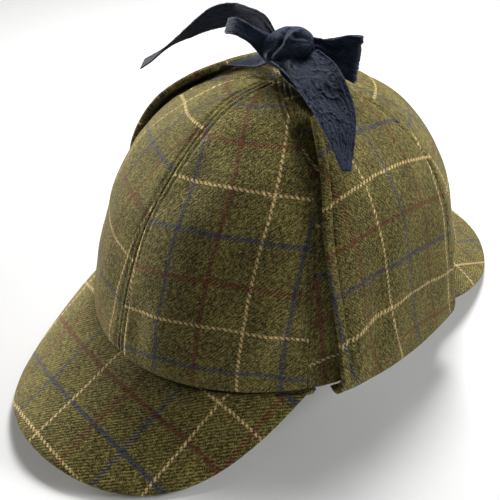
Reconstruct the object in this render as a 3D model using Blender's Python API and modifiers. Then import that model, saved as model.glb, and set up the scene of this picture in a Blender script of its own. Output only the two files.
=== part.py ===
"""Deerstalker hat: a six-gore tweed crown with a peak in front and behind, and two ear flaps
that are folded up over the crown and tied on top with a ribbon bow.

Metres, +Z up. The front peak points along -Y and the wearer's left is +X. The shapes are worked
out in the rim frame, whose origin is the middle of the crown's hem with the hem in its XY plane.
The empty called hat_lean then leans that frame back until both peaks touch the ground at Z = 0.
"""

import math
from collections import namedtuple

import bpy
from mathutils import Vector
from mathutils.bvhtree import BVHTree

# ---------------------------------------------------------------- driving dimensions

CLOTH = 0.0024  # tweed with its backing
PEAK_THICKNESS = 0.0032  # two layers of tweed round a stiff board
FLAP_THICKNESS = 0.0030  # two layers of tweed
RIBBON_THICKNESS = 0.0012
SEAM_GAP = 0.0006  # between two gores, along the cloth
CLEARANCE = 0.0004  # between pieces that touch

LEAN = math.radians(3.5)  # the hat stands on its peaks, leaning back
RIM_RISE = 0.0284  # hem's middle above the ground
RIM_SHIFT = 0.0048  # hem's middle behind the middle of the whole hat
GROUND_DEPTH = 0.02

# Crown sections from hem to apex. rise is measured up from the hem; front, side and rear are
# the distances from the crown's axis to the outside of the cloth.
CrownSection = namedtuple("CrownSection", "rise front side rear")
CROWN_SECTIONS = (
    CrownSection(0.0000, 0.1072, 0.0912, 0.1068),
    CrownSection(0.0213, 0.1035, 0.0882, 0.1054),
    CrownSection(0.0449, 0.0959, 0.0840, 0.0998),
    CrownSection(0.0686, 0.0842, 0.0780, 0.0900),
    CrownSection(0.0898, 0.0662, 0.0655, 0.0755),
    CrownSection(0.1052, 0.0482, 0.0450, 0.0580),
    CrownSection(0.1147, 0.0300, 0.0225, 0.0365),
    CrownSection(0.1182, 0.0000, 0.0000, 0.0000),
)
CROWN_HEIGHT = CROWN_SECTIONS[-1].rise
CROWN_FORWARD = 0.0042  # the apex lies this far in front of the hem's middle
CROWN_TOP = 0.985  # the gores stop here, just short of the apex
GORE_ANGLE = 60.0
GORE_PUFF = 0.0010  # each gore swells this much between its seams
SIDE_ARCH = 0.0036  # the hem rises this much behind the ears
ARCH_FROM, ARCH_TO = 62.0, 150.0
GORE_COLUMNS, GORE_ROWS = 8, 15

# A peak is a bowed sheet between the hem and a superellipse outline.
Peak = namedtuple("Peak", "facing end_angle reach slope camber side_power tip_power")
FRONT_PEAK = Peak(-1, 62.8, 0.0600, 25.1, 0.0340, 2.0, 2.5)
REAR_PEAK = Peak(1, 62.5, 0.0502, 18.0, 0.0147, 2.2, 2.1)
CAMBER_WIDTH = 0.080  # camber is the extra fall at this distance from the middle, at this reach:
CAMBER_REACH = 0.050
PEAK_ROOT_INSET = 0.0020  # the peak is sewn in under the crown's wall
PEAK_DROP = 0.0010
PEAK_COLUMNS, PEAK_ROWS = 30, 8

# Ear flap sections, from the fold at the hem to the tip. along is measured up the cloth from the
# hem; front and rear are the half-widths; lift and edge_lift are the height of the middle of the
# two layers above the crown, in the middle of the flap and at its edges.
FlapSection = namedtuple("FlapSection", "along front rear lift edge_lift")
FLAP_SECTIONS = (
    FlapSection(0.006, 0.0402, 0.0446, 0.0028, 0.0054),
    FlapSection(0.030, 0.0404, 0.0402, 0.0030, 0.0056),
    FlapSection(0.060, 0.0407, 0.0378, 0.0032, 0.0050),
    FlapSection(0.080, 0.0380, 0.0368, 0.0034, 0.0048),
    FlapSection(0.095, 0.0333, 0.0345, 0.0036, 0.0048),
    FlapSection(0.110, 0.0265, 0.0305, 0.0038, 0.0048),
    FlapSection(0.124, 0.0195, 0.0260, 0.0040, 0.0048),
    FlapSection(0.129, 0.0168, 0.0240, 0.0042, 0.0048),
    FlapSection(0.133, 0.0145, 0.0215, 0.0043, 0.0048),
)
# The fold: the cloth starts under the hem and turns up round it.
# flare is how much further out it lies at the flap's corners.
FoldSection = namedtuple("FoldSection", "out up flare")
FOLD_SECTIONS = (
    FoldSection(-0.0010, -0.0024, 0.0000),
    FoldSection(0.0012, -0.0023, 0.0008),
    FoldSection(0.0026, -0.0002, 0.0024),
)
FOLD_FRONT, FOLD_REAR = 0.0422, 0.0425  # half-widths along the hem
FLAP_FLARE_POWER = 2.5
FLAP_COLUMNS, FLAP_ROWS = 14, 17

# Ribbon sections. front_* and rear_* are the two edges of the ribbon, in the rim frame.
RibbonSection = namedtuple("RibbonSection", "front_x front_y front_z rear_x rear_y rear_z")
TAIL_FRONT_SECTIONS = (
    RibbonSection(0.0010, -0.0140, 0.1290, 0.0220, -0.0030, 0.1380),
    RibbonSection(0.0135, -0.0180, 0.1300, 0.0360, -0.0060, 0.1365),
    RibbonSection(0.0255, -0.0210, 0.1280, 0.0440, -0.0080, 0.1325),
    RibbonSection(0.0350, -0.0235, 0.1245, 0.0520, -0.0100, 0.1250),
    RibbonSection(0.0440, -0.0255, 0.1205, 0.0570, -0.0130, 0.1195),
    RibbonSection(0.0515, -0.0270, 0.1165, 0.0610, -0.0170, 0.1140),
    RibbonSection(0.0585, -0.0285, 0.1120, 0.0645, -0.0215, 0.1080),
    RibbonSection(0.0670, -0.0305, 0.1050, 0.0690, -0.0270, 0.1045),
)
TAIL_LEFT_SECTIONS = (
    RibbonSection(-0.0070, -0.0060, 0.1310, -0.0095, 0.0035, 0.1315),
    RibbonSection(-0.0170, -0.0070, 0.1370, -0.0240, 0.0080, 0.1375),
    RibbonSection(-0.0275, -0.0080, 0.1380, -0.0365, 0.0095, 0.1375),
    RibbonSection(-0.0385, -0.0090, 0.1330, -0.0505, 0.0090, 0.1380),
    RibbonSection(-0.0480, -0.0110, 0.1285, -0.0625, 0.0040, 0.1340),
    RibbonSection(-0.0570, -0.0140, 0.1240, -0.0710, -0.0020, 0.1245),
    RibbonSection(-0.0665, -0.0180, 0.1170, -0.0745, -0.0110, 0.1175),
    RibbonSection(-0.0735, -0.0205, 0.1115, -0.0775, -0.0180, 0.1120),
    RibbonSection(-0.0820, -0.0230, 0.1040, -0.0840, -0.0210, 0.1070),
    RibbonSection(-0.0895, -0.0250, 0.0980, -0.0880, -0.0220, 0.1045),
)
LOOP_LEFT_SECTIONS = (
    RibbonSection(-0.0020, -0.0140, 0.1285, -0.0010, -0.0100, 0.1380),
    RibbonSection(-0.0065, -0.0190, 0.1360, -0.0080, -0.0165, 0.1435),
    RibbonSection(-0.0115, -0.0225, 0.1390, -0.0150, -0.0190, 0.1460),
    RibbonSection(-0.0180, -0.0235, 0.1385, -0.0200, -0.0195, 0.1445),
    RibbonSection(-0.0215, -0.0210, 0.1375, -0.0233, -0.0170, 0.1430),
    RibbonSection(-0.0205, -0.0185, 0.1365, -0.0223, -0.0145, 0.1425),
    RibbonSection(-0.0160, -0.0175, 0.1380, -0.0185, -0.0135, 0.1430),
    RibbonSection(-0.0100, -0.0160, 0.1345, -0.0115, -0.0120, 0.1410),
    RibbonSection(-0.0030, -0.0080, 0.1300, -0.0040, -0.0060, 0.1370),
)
LOOP_RIGHT_SECTIONS = (
    RibbonSection(0.0060, -0.0060, 0.1340, 0.0050, -0.0060, 0.1395),
    RibbonSection(0.0190, 0.0000, 0.1345, 0.0165, 0.0000, 0.1415),
    RibbonSection(0.0275, 0.0030, 0.1300, 0.0235, 0.0030, 0.1425),
    RibbonSection(0.0328, 0.0055, 0.1250, 0.0305, 0.0060, 0.1450),
    RibbonSection(0.0350, 0.0075, 0.1237, 0.0356, 0.0088, 0.1455),
    RibbonSection(0.0346, 0.0095, 0.1228, 0.0351, 0.0112, 0.1450),
    RibbonSection(0.0315, 0.0112, 0.1224, 0.0318, 0.0128, 0.1440),
    RibbonSection(0.0265, 0.0125, 0.1220, 0.0240, 0.0135, 0.1415),
    RibbonSection(0.0190, 0.0095, 0.1290, 0.0165, 0.0105, 0.1385),
    RibbonSection(0.0070, 0.0000, 0.1330, 0.0060, 0.0000, 0.1370),
)
# Tie sections, written for the wearer's left: out from the crown's axis, the two edges' places
# along Y, and their heights above the crown.
TieSection = namedtuple("TieSection", "out front rear front_lift rear_lift")
TIE_SECTIONS = (
    TieSection(0.0344, -0.0115, 0.0180, 0.0042, 0.0046),
    TieSection(0.0300, -0.0110, 0.0168, 0.0040, 0.0064),
    TieSection(0.0215, -0.0110, 0.0120, 0.0036, 0.0080),
    TieSection(0.0140, -0.0110, 0.0060, 0.0036, 0.0090),
    TieSection(0.0080, -0.0110, 0.0000, 0.0050, 0.0105),
    TieSection(0.0030, -0.0100, -0.0040, 0.0080, 0.0120),
)
RIBBON_ROWS = 22
TIE_ROWS = 10
RIBBON_COLUMNS = 4
KNOT_CENTRE = (0.0050, -0.0056, 0.1344)
KNOT_RADII = (0.0150, 0.0102, 0.0100)
KNOT_LEAN = math.radians(-25)
KNOT_LEVELS = 3


# ---------------------------------------------------------------- scene helpers


def clear_scene():
    for obj in list(bpy.data.objects):
        bpy.data.objects.remove(obj, do_unlink=True)


def new_collection(name):
    collection = bpy.data.collections.new(name)
    bpy.context.scene.collection.children.link(collection)
    return collection


def new_material(name, color, roughness):
    material = bpy.data.materials.new(name)
    material.use_nodes = True
    shader = material.node_tree.nodes["Principled BSDF"]
    shader.inputs["Base Color"].default_value = (*color, 1.0)
    shader.inputs["Roughness"].default_value = roughness
    shader.inputs["Metallic"].default_value = 0.0
    return material


def sheet_object(name, rows, material, parent, collection):
    """A grid of quads over rows of points. It faces along (next column) x (next row)."""
    width = len(rows[0])
    points = [point for row in rows for point in row]
    faces = []
    for r in range(len(rows) - 1):
        for c in range(width - 1):
            corner = r * width + c
            faces.append((corner, corner + 1, corner + width + 1, corner + width))
    mesh = bpy.data.meshes.new(name)
    mesh.from_pydata(points, [], faces)
    mesh.shade_smooth()
    mesh.materials.append(material)
    obj = bpy.data.objects.new(name, mesh)
    obj.parent = parent
    collection.objects.link(obj)
    return obj


def add_wall(obj, thickness, offset):
    wall = obj.modifiers.new("wall", "SOLIDIFY")
    wall.thickness = thickness
    wall.offset = offset
    wall.use_even_offset = False
    return obj


def add_cut(obj, cutter):
    cut = obj.modifiers.new("cut " + cutter.name, "BOOLEAN")
    cut.operation = "DIFFERENCE"
    cut.object = cutter
    return obj


def mix(a, b, share):
    return a + (b - a) * share


def smooth_rows(rows, place):
    """The rows of a table read at a fractional row number, along a Catmull-Rom curve."""
    last = len(rows) - 1
    index = min(int(place), last - 1)
    s = place - index
    before = rows[max(index - 1, 0)]
    after = rows[min(index + 2, last)]
    return [
        0.5 * (2 * b + (c - a) * s + (2 * a - 5 * b + 4 * c - d) * s**2 + (3 * b - a - 3 * c + d) * s**3)
        for a, b, c, d in zip(before, rows[index], rows[index + 1], after)
    ]


# ---------------------------------------------------------------- crown


def crown_rows():
    """The crown's sections, with a mirrored one past the hem and past the apex.

    They make the wall start upright and the crown finish level."""
    below = CROWN_SECTIONS[1]
    above = CROWN_SECTIONS[-2]
    first = CrownSection(-below.rise, below.front, below.side, below.rear)
    last = CrownSection(above.rise, -above.front, -above.side, -above.rear)
    return (first, *CROWN_SECTIONS, last)


def crown_section(height):
    """The section at a share of the way up the crown's wall, 0 at the hem and 1 at the apex."""
    return CrownSection(*smooth_rows(crown_rows(), 1 + height * (len(CROWN_SECTIONS) - 1)))


def crown_point(angle, height, swell=0.0):
    """A point on the outside of the cloth. angle is in degrees: 0 in front, 90 at the wearer's left."""
    section = crown_section(height)
    turn = math.radians(angle)
    length = section.front if math.cos(turn) >= 0 else section.rear
    forward = CROWN_FORWARD * (section.rise / CROWN_HEIGHT) ** 2
    return Vector((
        (section.side + swell) * math.sin(turn),
        -(length + swell) * math.cos(turn) - forward,
        section.rise,
    ))


def hem_rise(angle):
    """How far the hem arches up behind the ear at this angle."""
    share = (abs(angle) - ARCH_FROM) / (ARCH_TO - ARCH_FROM)
    return SIDE_ARCH * math.sin(math.pi * share) ** 2 if 0 < share < 1 else 0.0


def hem_height(angle):
    """The share of the crown's height at which the hem lies."""
    return hem_rise(angle) / CROWN_SECTIONS[1].rise / (len(CROWN_SECTIONS) - 1)


def gore_rows(start):
    rows = []
    for row in range(GORE_ROWS):
        up = row / (GORE_ROWS - 1) * CROWN_TOP
        radius = (crown_point(start, up) - crown_point(start + 180, up)).length / 2
        margin = math.degrees(SEAM_GAP / 2 / max(radius, SEAM_GAP))
        points = []
        for column in range(GORE_COLUMNS + 1):
            across = column / GORE_COLUMNS
            angle = mix(start + margin, start + GORE_ANGLE - margin, across)
            height = mix(hem_height(angle), 1.0, up)
            swell = GORE_PUFF * math.sin(math.pi * across) * math.sin(math.pi * up)
            points.append(crown_point(angle, height, swell))
        rows.append(points)
    return rows


def build_crown(material, parent, collection):
    starts = {
        "front_left": 0,
        "side_left": 60,
        "rear_left": 120,
        "rear_right": 180,
        "side_right": 240,
        "front_right": 300,
    }
    for place, start in starts.items():
        # Angles past 180 are written as negative ones, so that the hem arches alike on both sides.
        rows = gore_rows(start if start < 180 else start - 360)
        gore = sheet_object("crown_panel_" + place, rows, material, parent, collection)
        add_wall(gore, CLOTH, -1.0)


# ---------------------------------------------------------------- peaks


def hem_distance(x, y, half_width, half_length):
    """Roughly how far a point in the hem's plane lies outside the hem's ellipse."""
    spread = math.hypot(x / half_width, y / half_length)
    steepness = math.hypot(x / half_width**2, y / half_length**2) / spread
    return max((spread - 1) / steepness, 0.0)


def peak_point(peak, across, out):
    """A point on the peak's upper side. across runs from -1 to 1, out from the hem to the edge."""
    half_width = CROWN_SECTIONS[0].side
    half_length = CROWN_SECTIONS[0].front if peak.facing < 0 else CROWN_SECTIONS[0].rear
    end = math.radians(peak.end_angle)
    root_x = (half_width - PEAK_ROOT_INSET) * math.sin(end * across)
    root_y = (half_length - PEAK_ROOT_INSET) * math.cos(end * across)
    end_x = half_width * math.sin(end)
    end_y = half_length * math.cos(end)
    tip_y = half_length + peak.reach * math.cos(math.radians(peak.slope))
    turn = math.pi / 2 * (1 - across)
    sideways = abs(math.cos(turn)) ** (2 / peak.side_power)
    edge_x = math.copysign(end_x * sideways, across)
    edge_y = end_y + (tip_y - end_y) * abs(math.sin(turn)) ** (2 / peak.tip_power)
    x = mix(root_x, edge_x, out)
    y = mix(root_y, edge_y, out)
    from_middle = abs(peak.end_angle * across)
    arch = hem_rise(from_middle if peak.facing < 0 else 180 - from_middle) * (1 - out)
    distance = hem_distance(x, y, half_width, half_length)
    fall = math.tan(math.radians(peak.slope)) * distance
    bow = peak.camber * (x / CAMBER_WIDTH) ** 2 * distance / CAMBER_REACH
    return Vector((x, peak.facing * y, arch - PEAK_DROP - fall - bow))


def peak_rows(peak):
    rows = []
    for row in range(PEAK_ROWS + 1):
        points = []
        for column in range(PEAK_COLUMNS + 1):
            even = -1 + 2 * column / PEAK_COLUMNS
            # Columns crowd towards the ends, where the outline turns fastest.
            across = (even + math.sin(math.pi / 2 * even)) / 2
            points.append(peak_point(peak, -peak.facing * across, row / PEAK_ROWS))
        rows.append(points[::-1])
    return rows


def build_peaks(material, parent, ground, collection):
    for name, peak in (("front_peak", FRONT_PEAK), ("rear_peak", REAR_PEAK)):
        sheet = sheet_object(name, peak_rows(peak), material, parent, collection)
        add_wall(sheet, PEAK_THICKNESS, -1.0)
        add_cut(sheet, ground)


# ---------------------------------------------------------------- ear flaps


class CrownSurface:
    """The whole outside of the crown, for laying cloth and ribbon on it."""

    ANGLE_STEP = 3
    HEIGHTS = 60
    REACH = 0.06

    def __init__(self):
        count = 360 // self.ANGLE_STEP
        points = [
            crown_point(i * self.ANGLE_STEP, k / self.HEIGHTS)
            for k in range(self.HEIGHTS + 1)
            for i in range(count)
        ]
        faces = [
            (k * count + i, k * count + (i + 1) % count, (k + 1) * count + (i + 1) % count, (k + 1) * count + i)
            for k in range(self.HEIGHTS)
            for i in range(count)
        ]
        self.tree = BVHTree.FromPolygons(points, faces)

    def over(self, point, toward, lift):
        """The point moved along toward on to the crown, then lifted off it."""
        hit, normal, _, _ = self.tree.ray_cast(point - toward * self.REACH, toward)
        if normal.dot(toward) > 0:
            normal.negate()
        return hit + normal * lift


class SideLine:
    """The line up the middle of a flap, from the hem over the wearer's left ear to the apex."""

    STEPS = 400

    def __init__(self):
        self.points = [crown_point(90, k / self.STEPS) for k in range(self.STEPS + 1)]
        self.along = [0.0]
        for a, b in zip(self.points, self.points[1:]):
            self.along.append(self.along[-1] + (b - a).length)

    def at(self, along):
        """The point and the inward direction at a distance up the cloth from the hem."""
        k = next(i for i in range(1, self.STEPS + 1) if self.along[i] >= along or i == self.STEPS)
        share = (along - self.along[k - 1]) / (self.along[k] - self.along[k - 1])
        tangent = (self.points[k] - self.points[k - 1]).normalized()
        inward = tangent.cross(Vector((0, 1, 0))).normalized()
        return self.points[k - 1].lerp(self.points[k], share), inward


def fold_row(section):
    """A row of the fold, where the flap comes out from under the hem and turns up."""
    points = []
    for column in range(FLAP_COLUMNS + 1):
        across = -1 + 2 * column / FLAP_COLUMNS
        y = across * (FOLD_REAR if across > 0 else FOLD_FRONT)
        length = CROWN_SECTIONS[0].rear if across > 0 else CROWN_SECTIONS[0].front
        angle = math.degrees(math.acos(-y / length))
        hem = crown_point(angle, hem_height(angle))
        outward = Vector((hem.x / CROWN_SECTIONS[0].side**2, hem.y / length**2, 0)).normalized()
        flare = section.flare * abs(across) ** FLAP_FLARE_POWER
        points.append(hem + outward * (section.out + flare) + Vector((0, 0, section.up)))
    return points


def flap_row(section, crown, line):
    middle, inward = line.at(section.along)
    points = []
    for column in range(FLAP_COLUMNS + 1):
        across = -1 + 2 * column / FLAP_COLUMNS
        y = across * (section.rear if across > 0 else section.front)
        lift = mix(section.lift, section.edge_lift, abs(across) ** FLAP_FLARE_POWER)
        points.append(crown.over(middle + Vector((0, y, 0)), inward, lift))
    return points


def flap_rows(crown, line):
    rows = [fold_row(section) for section in FOLD_SECTIONS]
    for row in range(FLAP_ROWS):
        place = row / (FLAP_ROWS - 1) * (len(FLAP_SECTIONS) - 1)
        rows.append(flap_row(FlapSection(*smooth_rows(FLAP_SECTIONS, place)), crown, line))
    return rows


def mirrored(rows):
    """The rows for the wearer's right, with each row turned round so that it still faces outward."""
    return [[Vector((-p.x, p.y, p.z)) for p in reversed(row)] for row in rows]


def build_flaps(rows, material, parent, collection):
    for name, side_rows in (("ear_flap_left", rows), ("ear_flap_right", mirrored(rows))):
        flap = sheet_object(name, side_rows, material, parent, collection)
        add_wall(flap, FLAP_THICKNESS, 0.0)


# ---------------------------------------------------------------- ribbon


def ribbon_rows(sections):
    rows = []
    for row in range(RIBBON_ROWS + 1):
        place = row / RIBBON_ROWS * (len(sections) - 1)
        section = RibbonSection(*smooth_rows(sections, place))
        front = Vector((section.front_x, section.front_y, section.front_z))
        rear = Vector((section.rear_x, section.rear_y, section.rear_z))
        rows.append([front.lerp(rear, c / RIBBON_COLUMNS) for c in range(RIBBON_COLUMNS + 1)])
    return rows


def tie_rows(crown):
    down = Vector((0, 0, -1))
    rows = []
    for row in range(TIE_ROWS + 1):
        place = row / TIE_ROWS * (len(TIE_SECTIONS) - 1)
        section = TieSection(*smooth_rows(TIE_SECTIONS, place))
        points = []
        for column in range(RIBBON_COLUMNS + 1):
            across = column / RIBBON_COLUMNS
            top = Vector((section.out, mix(section.front, section.rear, across), CROWN_HEIGHT))
            lift = mix(section.front_lift, section.rear_lift, across)
            points.append(crown.over(top, down, 0.0) - down * lift)
        rows.append(points)
    return rows


def knot_object(name, margin, material, parent, collection):
    """The knot: a rounded block drawn in where the ribbon wraps it."""
    bpy.ops.mesh.primitive_cube_add(size=2)
    knot = bpy.context.active_object
    knot.name = name
    knot.data.name = name
    knot.data.materials.append(material)
    knot.location = KNOT_CENTRE
    knot.rotation_euler = (0, KNOT_LEAN, 0)
    for vertex in knot.data.vertices:
        vertex.co = Vector(a * (r + margin) for a, r in zip(vertex.co, KNOT_RADII))
    rounding = knot.modifiers.new("rounding", "SUBSURF")
    rounding.levels = KNOT_LEVELS
    rounding.render_levels = KNOT_LEVELS
    knot.parent = parent
    for home in list(knot.users_collection):
        home.objects.unlink(knot)
    collection.objects.link(knot)
    return knot


def build_ribbon(crown, material, parent, collection, cutters):
    knot_object("ribbon_knot", 0.0, material, parent, collection)
    clearance = knot_object("knot_clearance", CLEARANCE, material, parent, cutters)
    hide_cutter(clearance)
    ties = tie_rows(crown)
    sheets = {
        "ribbon_tie_left": ties,
        "ribbon_tie_right": mirrored(ties),
        "bow_loop_left": ribbon_rows(LOOP_LEFT_SECTIONS),
        "bow_loop_right": ribbon_rows(LOOP_RIGHT_SECTIONS),
        "ribbon_tail_front": ribbon_rows(TAIL_FRONT_SECTIONS),
        "ribbon_tail_left": ribbon_rows(TAIL_LEFT_SECTIONS),
    }
    for name, rows in sheets.items():
        ribbon = sheet_object(name, rows, material, parent, collection)
        add_wall(ribbon, RIBBON_THICKNESS, 0.0)
        add_cut(ribbon, clearance)


# ---------------------------------------------------------------- assembly


def hide_cutter(obj):
    obj.hide_render = True
    obj.display_type = "WIRE"


def ground_cutter(collection):
    """A block below Z = 0, which flattens the peaks where they rest."""
    bpy.ops.mesh.primitive_cube_add(size=1, location=(0, 0, -GROUND_DEPTH / 2))
    ground = bpy.context.active_object
    ground.name = "ground"
    for vertex in ground.data.vertices:
        vertex.co = Vector((vertex.co.x, vertex.co.y, vertex.co.z * GROUND_DEPTH))
    for home in list(ground.users_collection):
        home.objects.unlink(ground)
    collection.objects.link(ground)
    hide_cutter(ground)
    return ground


def lean_frame(collection):
    """The empty that carries the rim frame: leaned back and raised on to the peaks."""
    frame = bpy.data.objects.new("hat_lean", None)
    frame.location = (0, RIM_SHIFT, RIM_RISE)
    frame.rotation_euler = (-LEAN, 0, 0)
    collection.objects.link(frame)
    return frame


def main():
    clear_scene()
    parts = new_collection("deerstalker_hat")
    cutters = new_collection("cutters")
    tweed = new_material("tweed", (0.115, 0.105, 0.035), 0.95)
    crepe = new_material("crepe_ribbon", (0.018, 0.022, 0.032), 0.6)
    frame = lean_frame(parts)
    ground = ground_cutter(cutters)
    crown = CrownSurface()
    build_crown(tweed, frame, parts)
    build_peaks(tweed, frame, ground, parts)
    build_flaps(flap_rows(crown, SideLine()), tweed, frame, parts)
    build_ribbon(crown, crepe, frame, parts, cutters)


main()
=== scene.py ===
"""Deerstalker hat in windowpane tweed, its ear flaps tied up on top with a crepe ribbon bow.

Metres, +Z up. The hat's shapes are worked out in the rim frame, whose origin is the middle of the
crown's hem with the hem in its XY plane, the front peak towards -Y and the wearer's left towards
+X. HatFrame leans that frame back on to the peaks. Each size is in metres unless it says otherwise.
"""

from __future__ import annotations

import itertools
import logging
import math
from collections.abc import Callable, Sequence
from dataclasses import dataclass, field
from enum import Enum

import bpy
import numpy as np
from mathutils import Matrix, Vector
from mathutils.bvhtree import BVHTree


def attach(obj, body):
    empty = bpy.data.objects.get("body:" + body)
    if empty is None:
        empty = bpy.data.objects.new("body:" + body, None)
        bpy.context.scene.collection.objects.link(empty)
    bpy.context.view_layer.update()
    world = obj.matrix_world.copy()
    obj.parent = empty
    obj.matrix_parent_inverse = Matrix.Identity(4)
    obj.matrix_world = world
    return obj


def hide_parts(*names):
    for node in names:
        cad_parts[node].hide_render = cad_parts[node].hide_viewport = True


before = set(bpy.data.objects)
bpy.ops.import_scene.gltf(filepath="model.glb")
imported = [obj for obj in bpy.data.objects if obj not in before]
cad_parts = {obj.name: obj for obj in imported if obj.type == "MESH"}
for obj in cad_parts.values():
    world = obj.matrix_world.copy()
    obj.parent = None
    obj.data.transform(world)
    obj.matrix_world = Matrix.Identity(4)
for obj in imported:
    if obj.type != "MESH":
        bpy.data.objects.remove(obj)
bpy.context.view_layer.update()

log = logging.getLogger("deerstalker")
CLOTH_MAP = "cloth"
MILLIMETRE = 0.001
FULL_TURN = 2 * math.pi
# the length below which a direction counts as having none
TINY = 1e-12
# where the rows of an edge that turns over lie, as shares of its margin
EDGE_STEPS = (0.0, 0.15, 0.5)
Array = np.ndarray
Color = tuple[float, float, float]


# ---------------------------------------------------------------- shapes shared by the pieces


@dataclass(frozen=True)
class HatFrame:
    """Where the rim frame lies in the world: leaned back and raised on to the peaks."""

    lean: float = math.radians(3.5)
    rise: float = 0.0284
    shift: float = 0.0048

    def matrix(self) -> Matrix:
        """The rim frame as a matrix in the world."""
        return Matrix.Translation((0, self.shift, self.rise)) @ Matrix.Rotation(-self.lean, 4, "X")

    def to_world(self, points: Array) -> Array:
        """Points of the rim frame, in the world."""
        turn = np.array(self.matrix().to_3x3())
        return points @ turn.T + np.array(self.matrix().translation)


HAT_FRAME = HatFrame()


class Ripple:
    """Smooth noise over a plane, the same on each run."""

    CELLS = 256

    def __init__(self, seed: int) -> None:
        """Draws the noise's directions from a fixed seed.

        Args:
            seed: the seed.
        """
        dice = np.random.default_rng(seed)
        self.order = dice.permutation(self.CELLS)
        self.turns = dice.uniform(0, FULL_TURN, self.CELLS)

    def at(self, x: Array, y: Array) -> Array:
        """The noise at places given in cells, about -0.7 to 0.7.

        Args:
            x: places along the first axis.
            y: places along the second axis.

        Returns:
            One value for each place.
        """
        left, low = np.floor(x).astype(int), np.floor(y).astype(int)
        total = np.zeros(np.broadcast(x, y).shape)
        for step_x, step_y in itertools.product((0, 1), repeat=2):
            across, up = x - left - step_x, y - low - step_y
            near_x, near_y = 1 - np.abs(across), 1 - np.abs(up)
            weight = (near_x**2 * (3 - 2 * near_x)) * (near_y**2 * (3 - 2 * near_y))
            cell = self.order[(self.order[(left + step_x) % self.CELLS] + low + step_y) % self.CELLS]
            turn = self.turns[cell]
            total += weight * (np.cos(turn) * across + np.sin(turn) * up)
        return total


def millimetres(*rows: Sequence[float]) -> Array:
    """A table written in millimetres, in metres."""
    return np.array(rows) * MILLIMETRE


def unit(values: Array) -> Array:
    """The values, held between 0 and 1."""
    return np.clip(values, 0, 1)


def hump(distance: Array, width: float) -> Array:
    """1 where the distance is 0, falling away smoothly over a width."""
    return np.exp(-((distance / width) ** 2))


def read_table(rows: Array, places: Array) -> Array:
    """Reads a table at fractional row numbers, along a Catmull-Rom curve.

    Args:
        rows: the table, one row for each section.
        places: fractional row numbers.

    Returns:
        A row for each place.
    """
    last = len(rows) - 1
    index = np.clip(places.astype(int), 0, last - 1)
    s = (places - index).reshape(-1, *([1] * (rows.ndim - 1)))
    a, b = rows[np.maximum(index - 1, 0)], rows[index]
    c, d = rows[index + 1], rows[np.minimum(index + 2, last)]
    return 0.5 * (2 * b + (c - a) * s + (2 * a - 5 * b + 4 * c - d) * s**2 + (3 * b - a - 3 * c + d) * s**3)


def spread_over(rows: Array, count: int) -> Array:
    """A table read at evenly spaced places from its first row to its last."""
    return read_table(rows, np.linspace(0, len(rows) - 1, count))


def crowd(count: int, share: float = 0.5) -> Array:
    """Places from 0 to 1 that crowd towards both ends, where an edge is rounded.

    Args:
        count: how many places.
        share: 0 for even places, 1 for the most crowded.

    Returns:
        The places.
    """
    even = np.linspace(0, 1, count)
    return (1 - share) * even + share * (1 - np.cos(math.pi * even)) / 2


def edged(places: Array, margin: float) -> Array:
    """Places from 0 to 1 with more of them in a margin at each end, where a cut edge turns over.

    Args:
        places: the places.
        margin: each end's margin.

    Returns:
        The places, spread over what the margins leave, with those of the margins.
    """
    near = np.array(EDGE_STEPS) * margin
    inner = margin + (1 - 2 * margin) * places
    return np.concatenate([near, inner, 1 - near[::-1]])


def grid_normals(grid: Array) -> Array:
    """The direction that each point of a grid faces, along (next column) x (next row)."""
    facing = np.cross(np.gradient(grid, axis=1), np.gradient(grid, axis=0))
    return facing / np.maximum(np.linalg.norm(facing, axis=2, keepdims=True), TINY)


def raised(grid: Array, height: Array) -> Array:
    """A grid with its points moved out along the directions that they face."""
    return grid + grid_normals(grid) * height[..., None]


def lengths_along(grid: Array, axis: int) -> Array:
    """The distance travelled along the rows or columns of a grid, from its first one.

    Args:
        grid: the points.
        axis: 1 for along the rows, 0 for along the columns.

    Returns:
        A length for each point.
    """
    steps = np.linalg.norm(np.diff(grid, axis=axis), axis=2)
    start = np.zeros_like(np.take(steps, [0], axis=axis))
    return np.concatenate([start, np.cumsum(steps, axis=axis)], axis=axis)


def cloth_lengths(grid: Array) -> tuple[Array, Array]:
    """How far each point of a grid lies along its row and up its column."""
    return lengths_along(grid, 1), lengths_along(grid, 0)


def side_distance(u: Array) -> Array:
    """How far each point lies from the nearer end of its row, from the lengths along the rows."""
    return np.minimum(u, u[:, -1:] - u)


def edge_distance(grid: Array) -> Array:
    """Roughly how far each point of a grid lies from the grid's nearest edge."""
    u, v = cloth_lengths(grid)
    return np.minimum(side_distance(u), np.minimum(v, v[-1:] - v))


# ---------------------------------------------------------------- shader expressions


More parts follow.
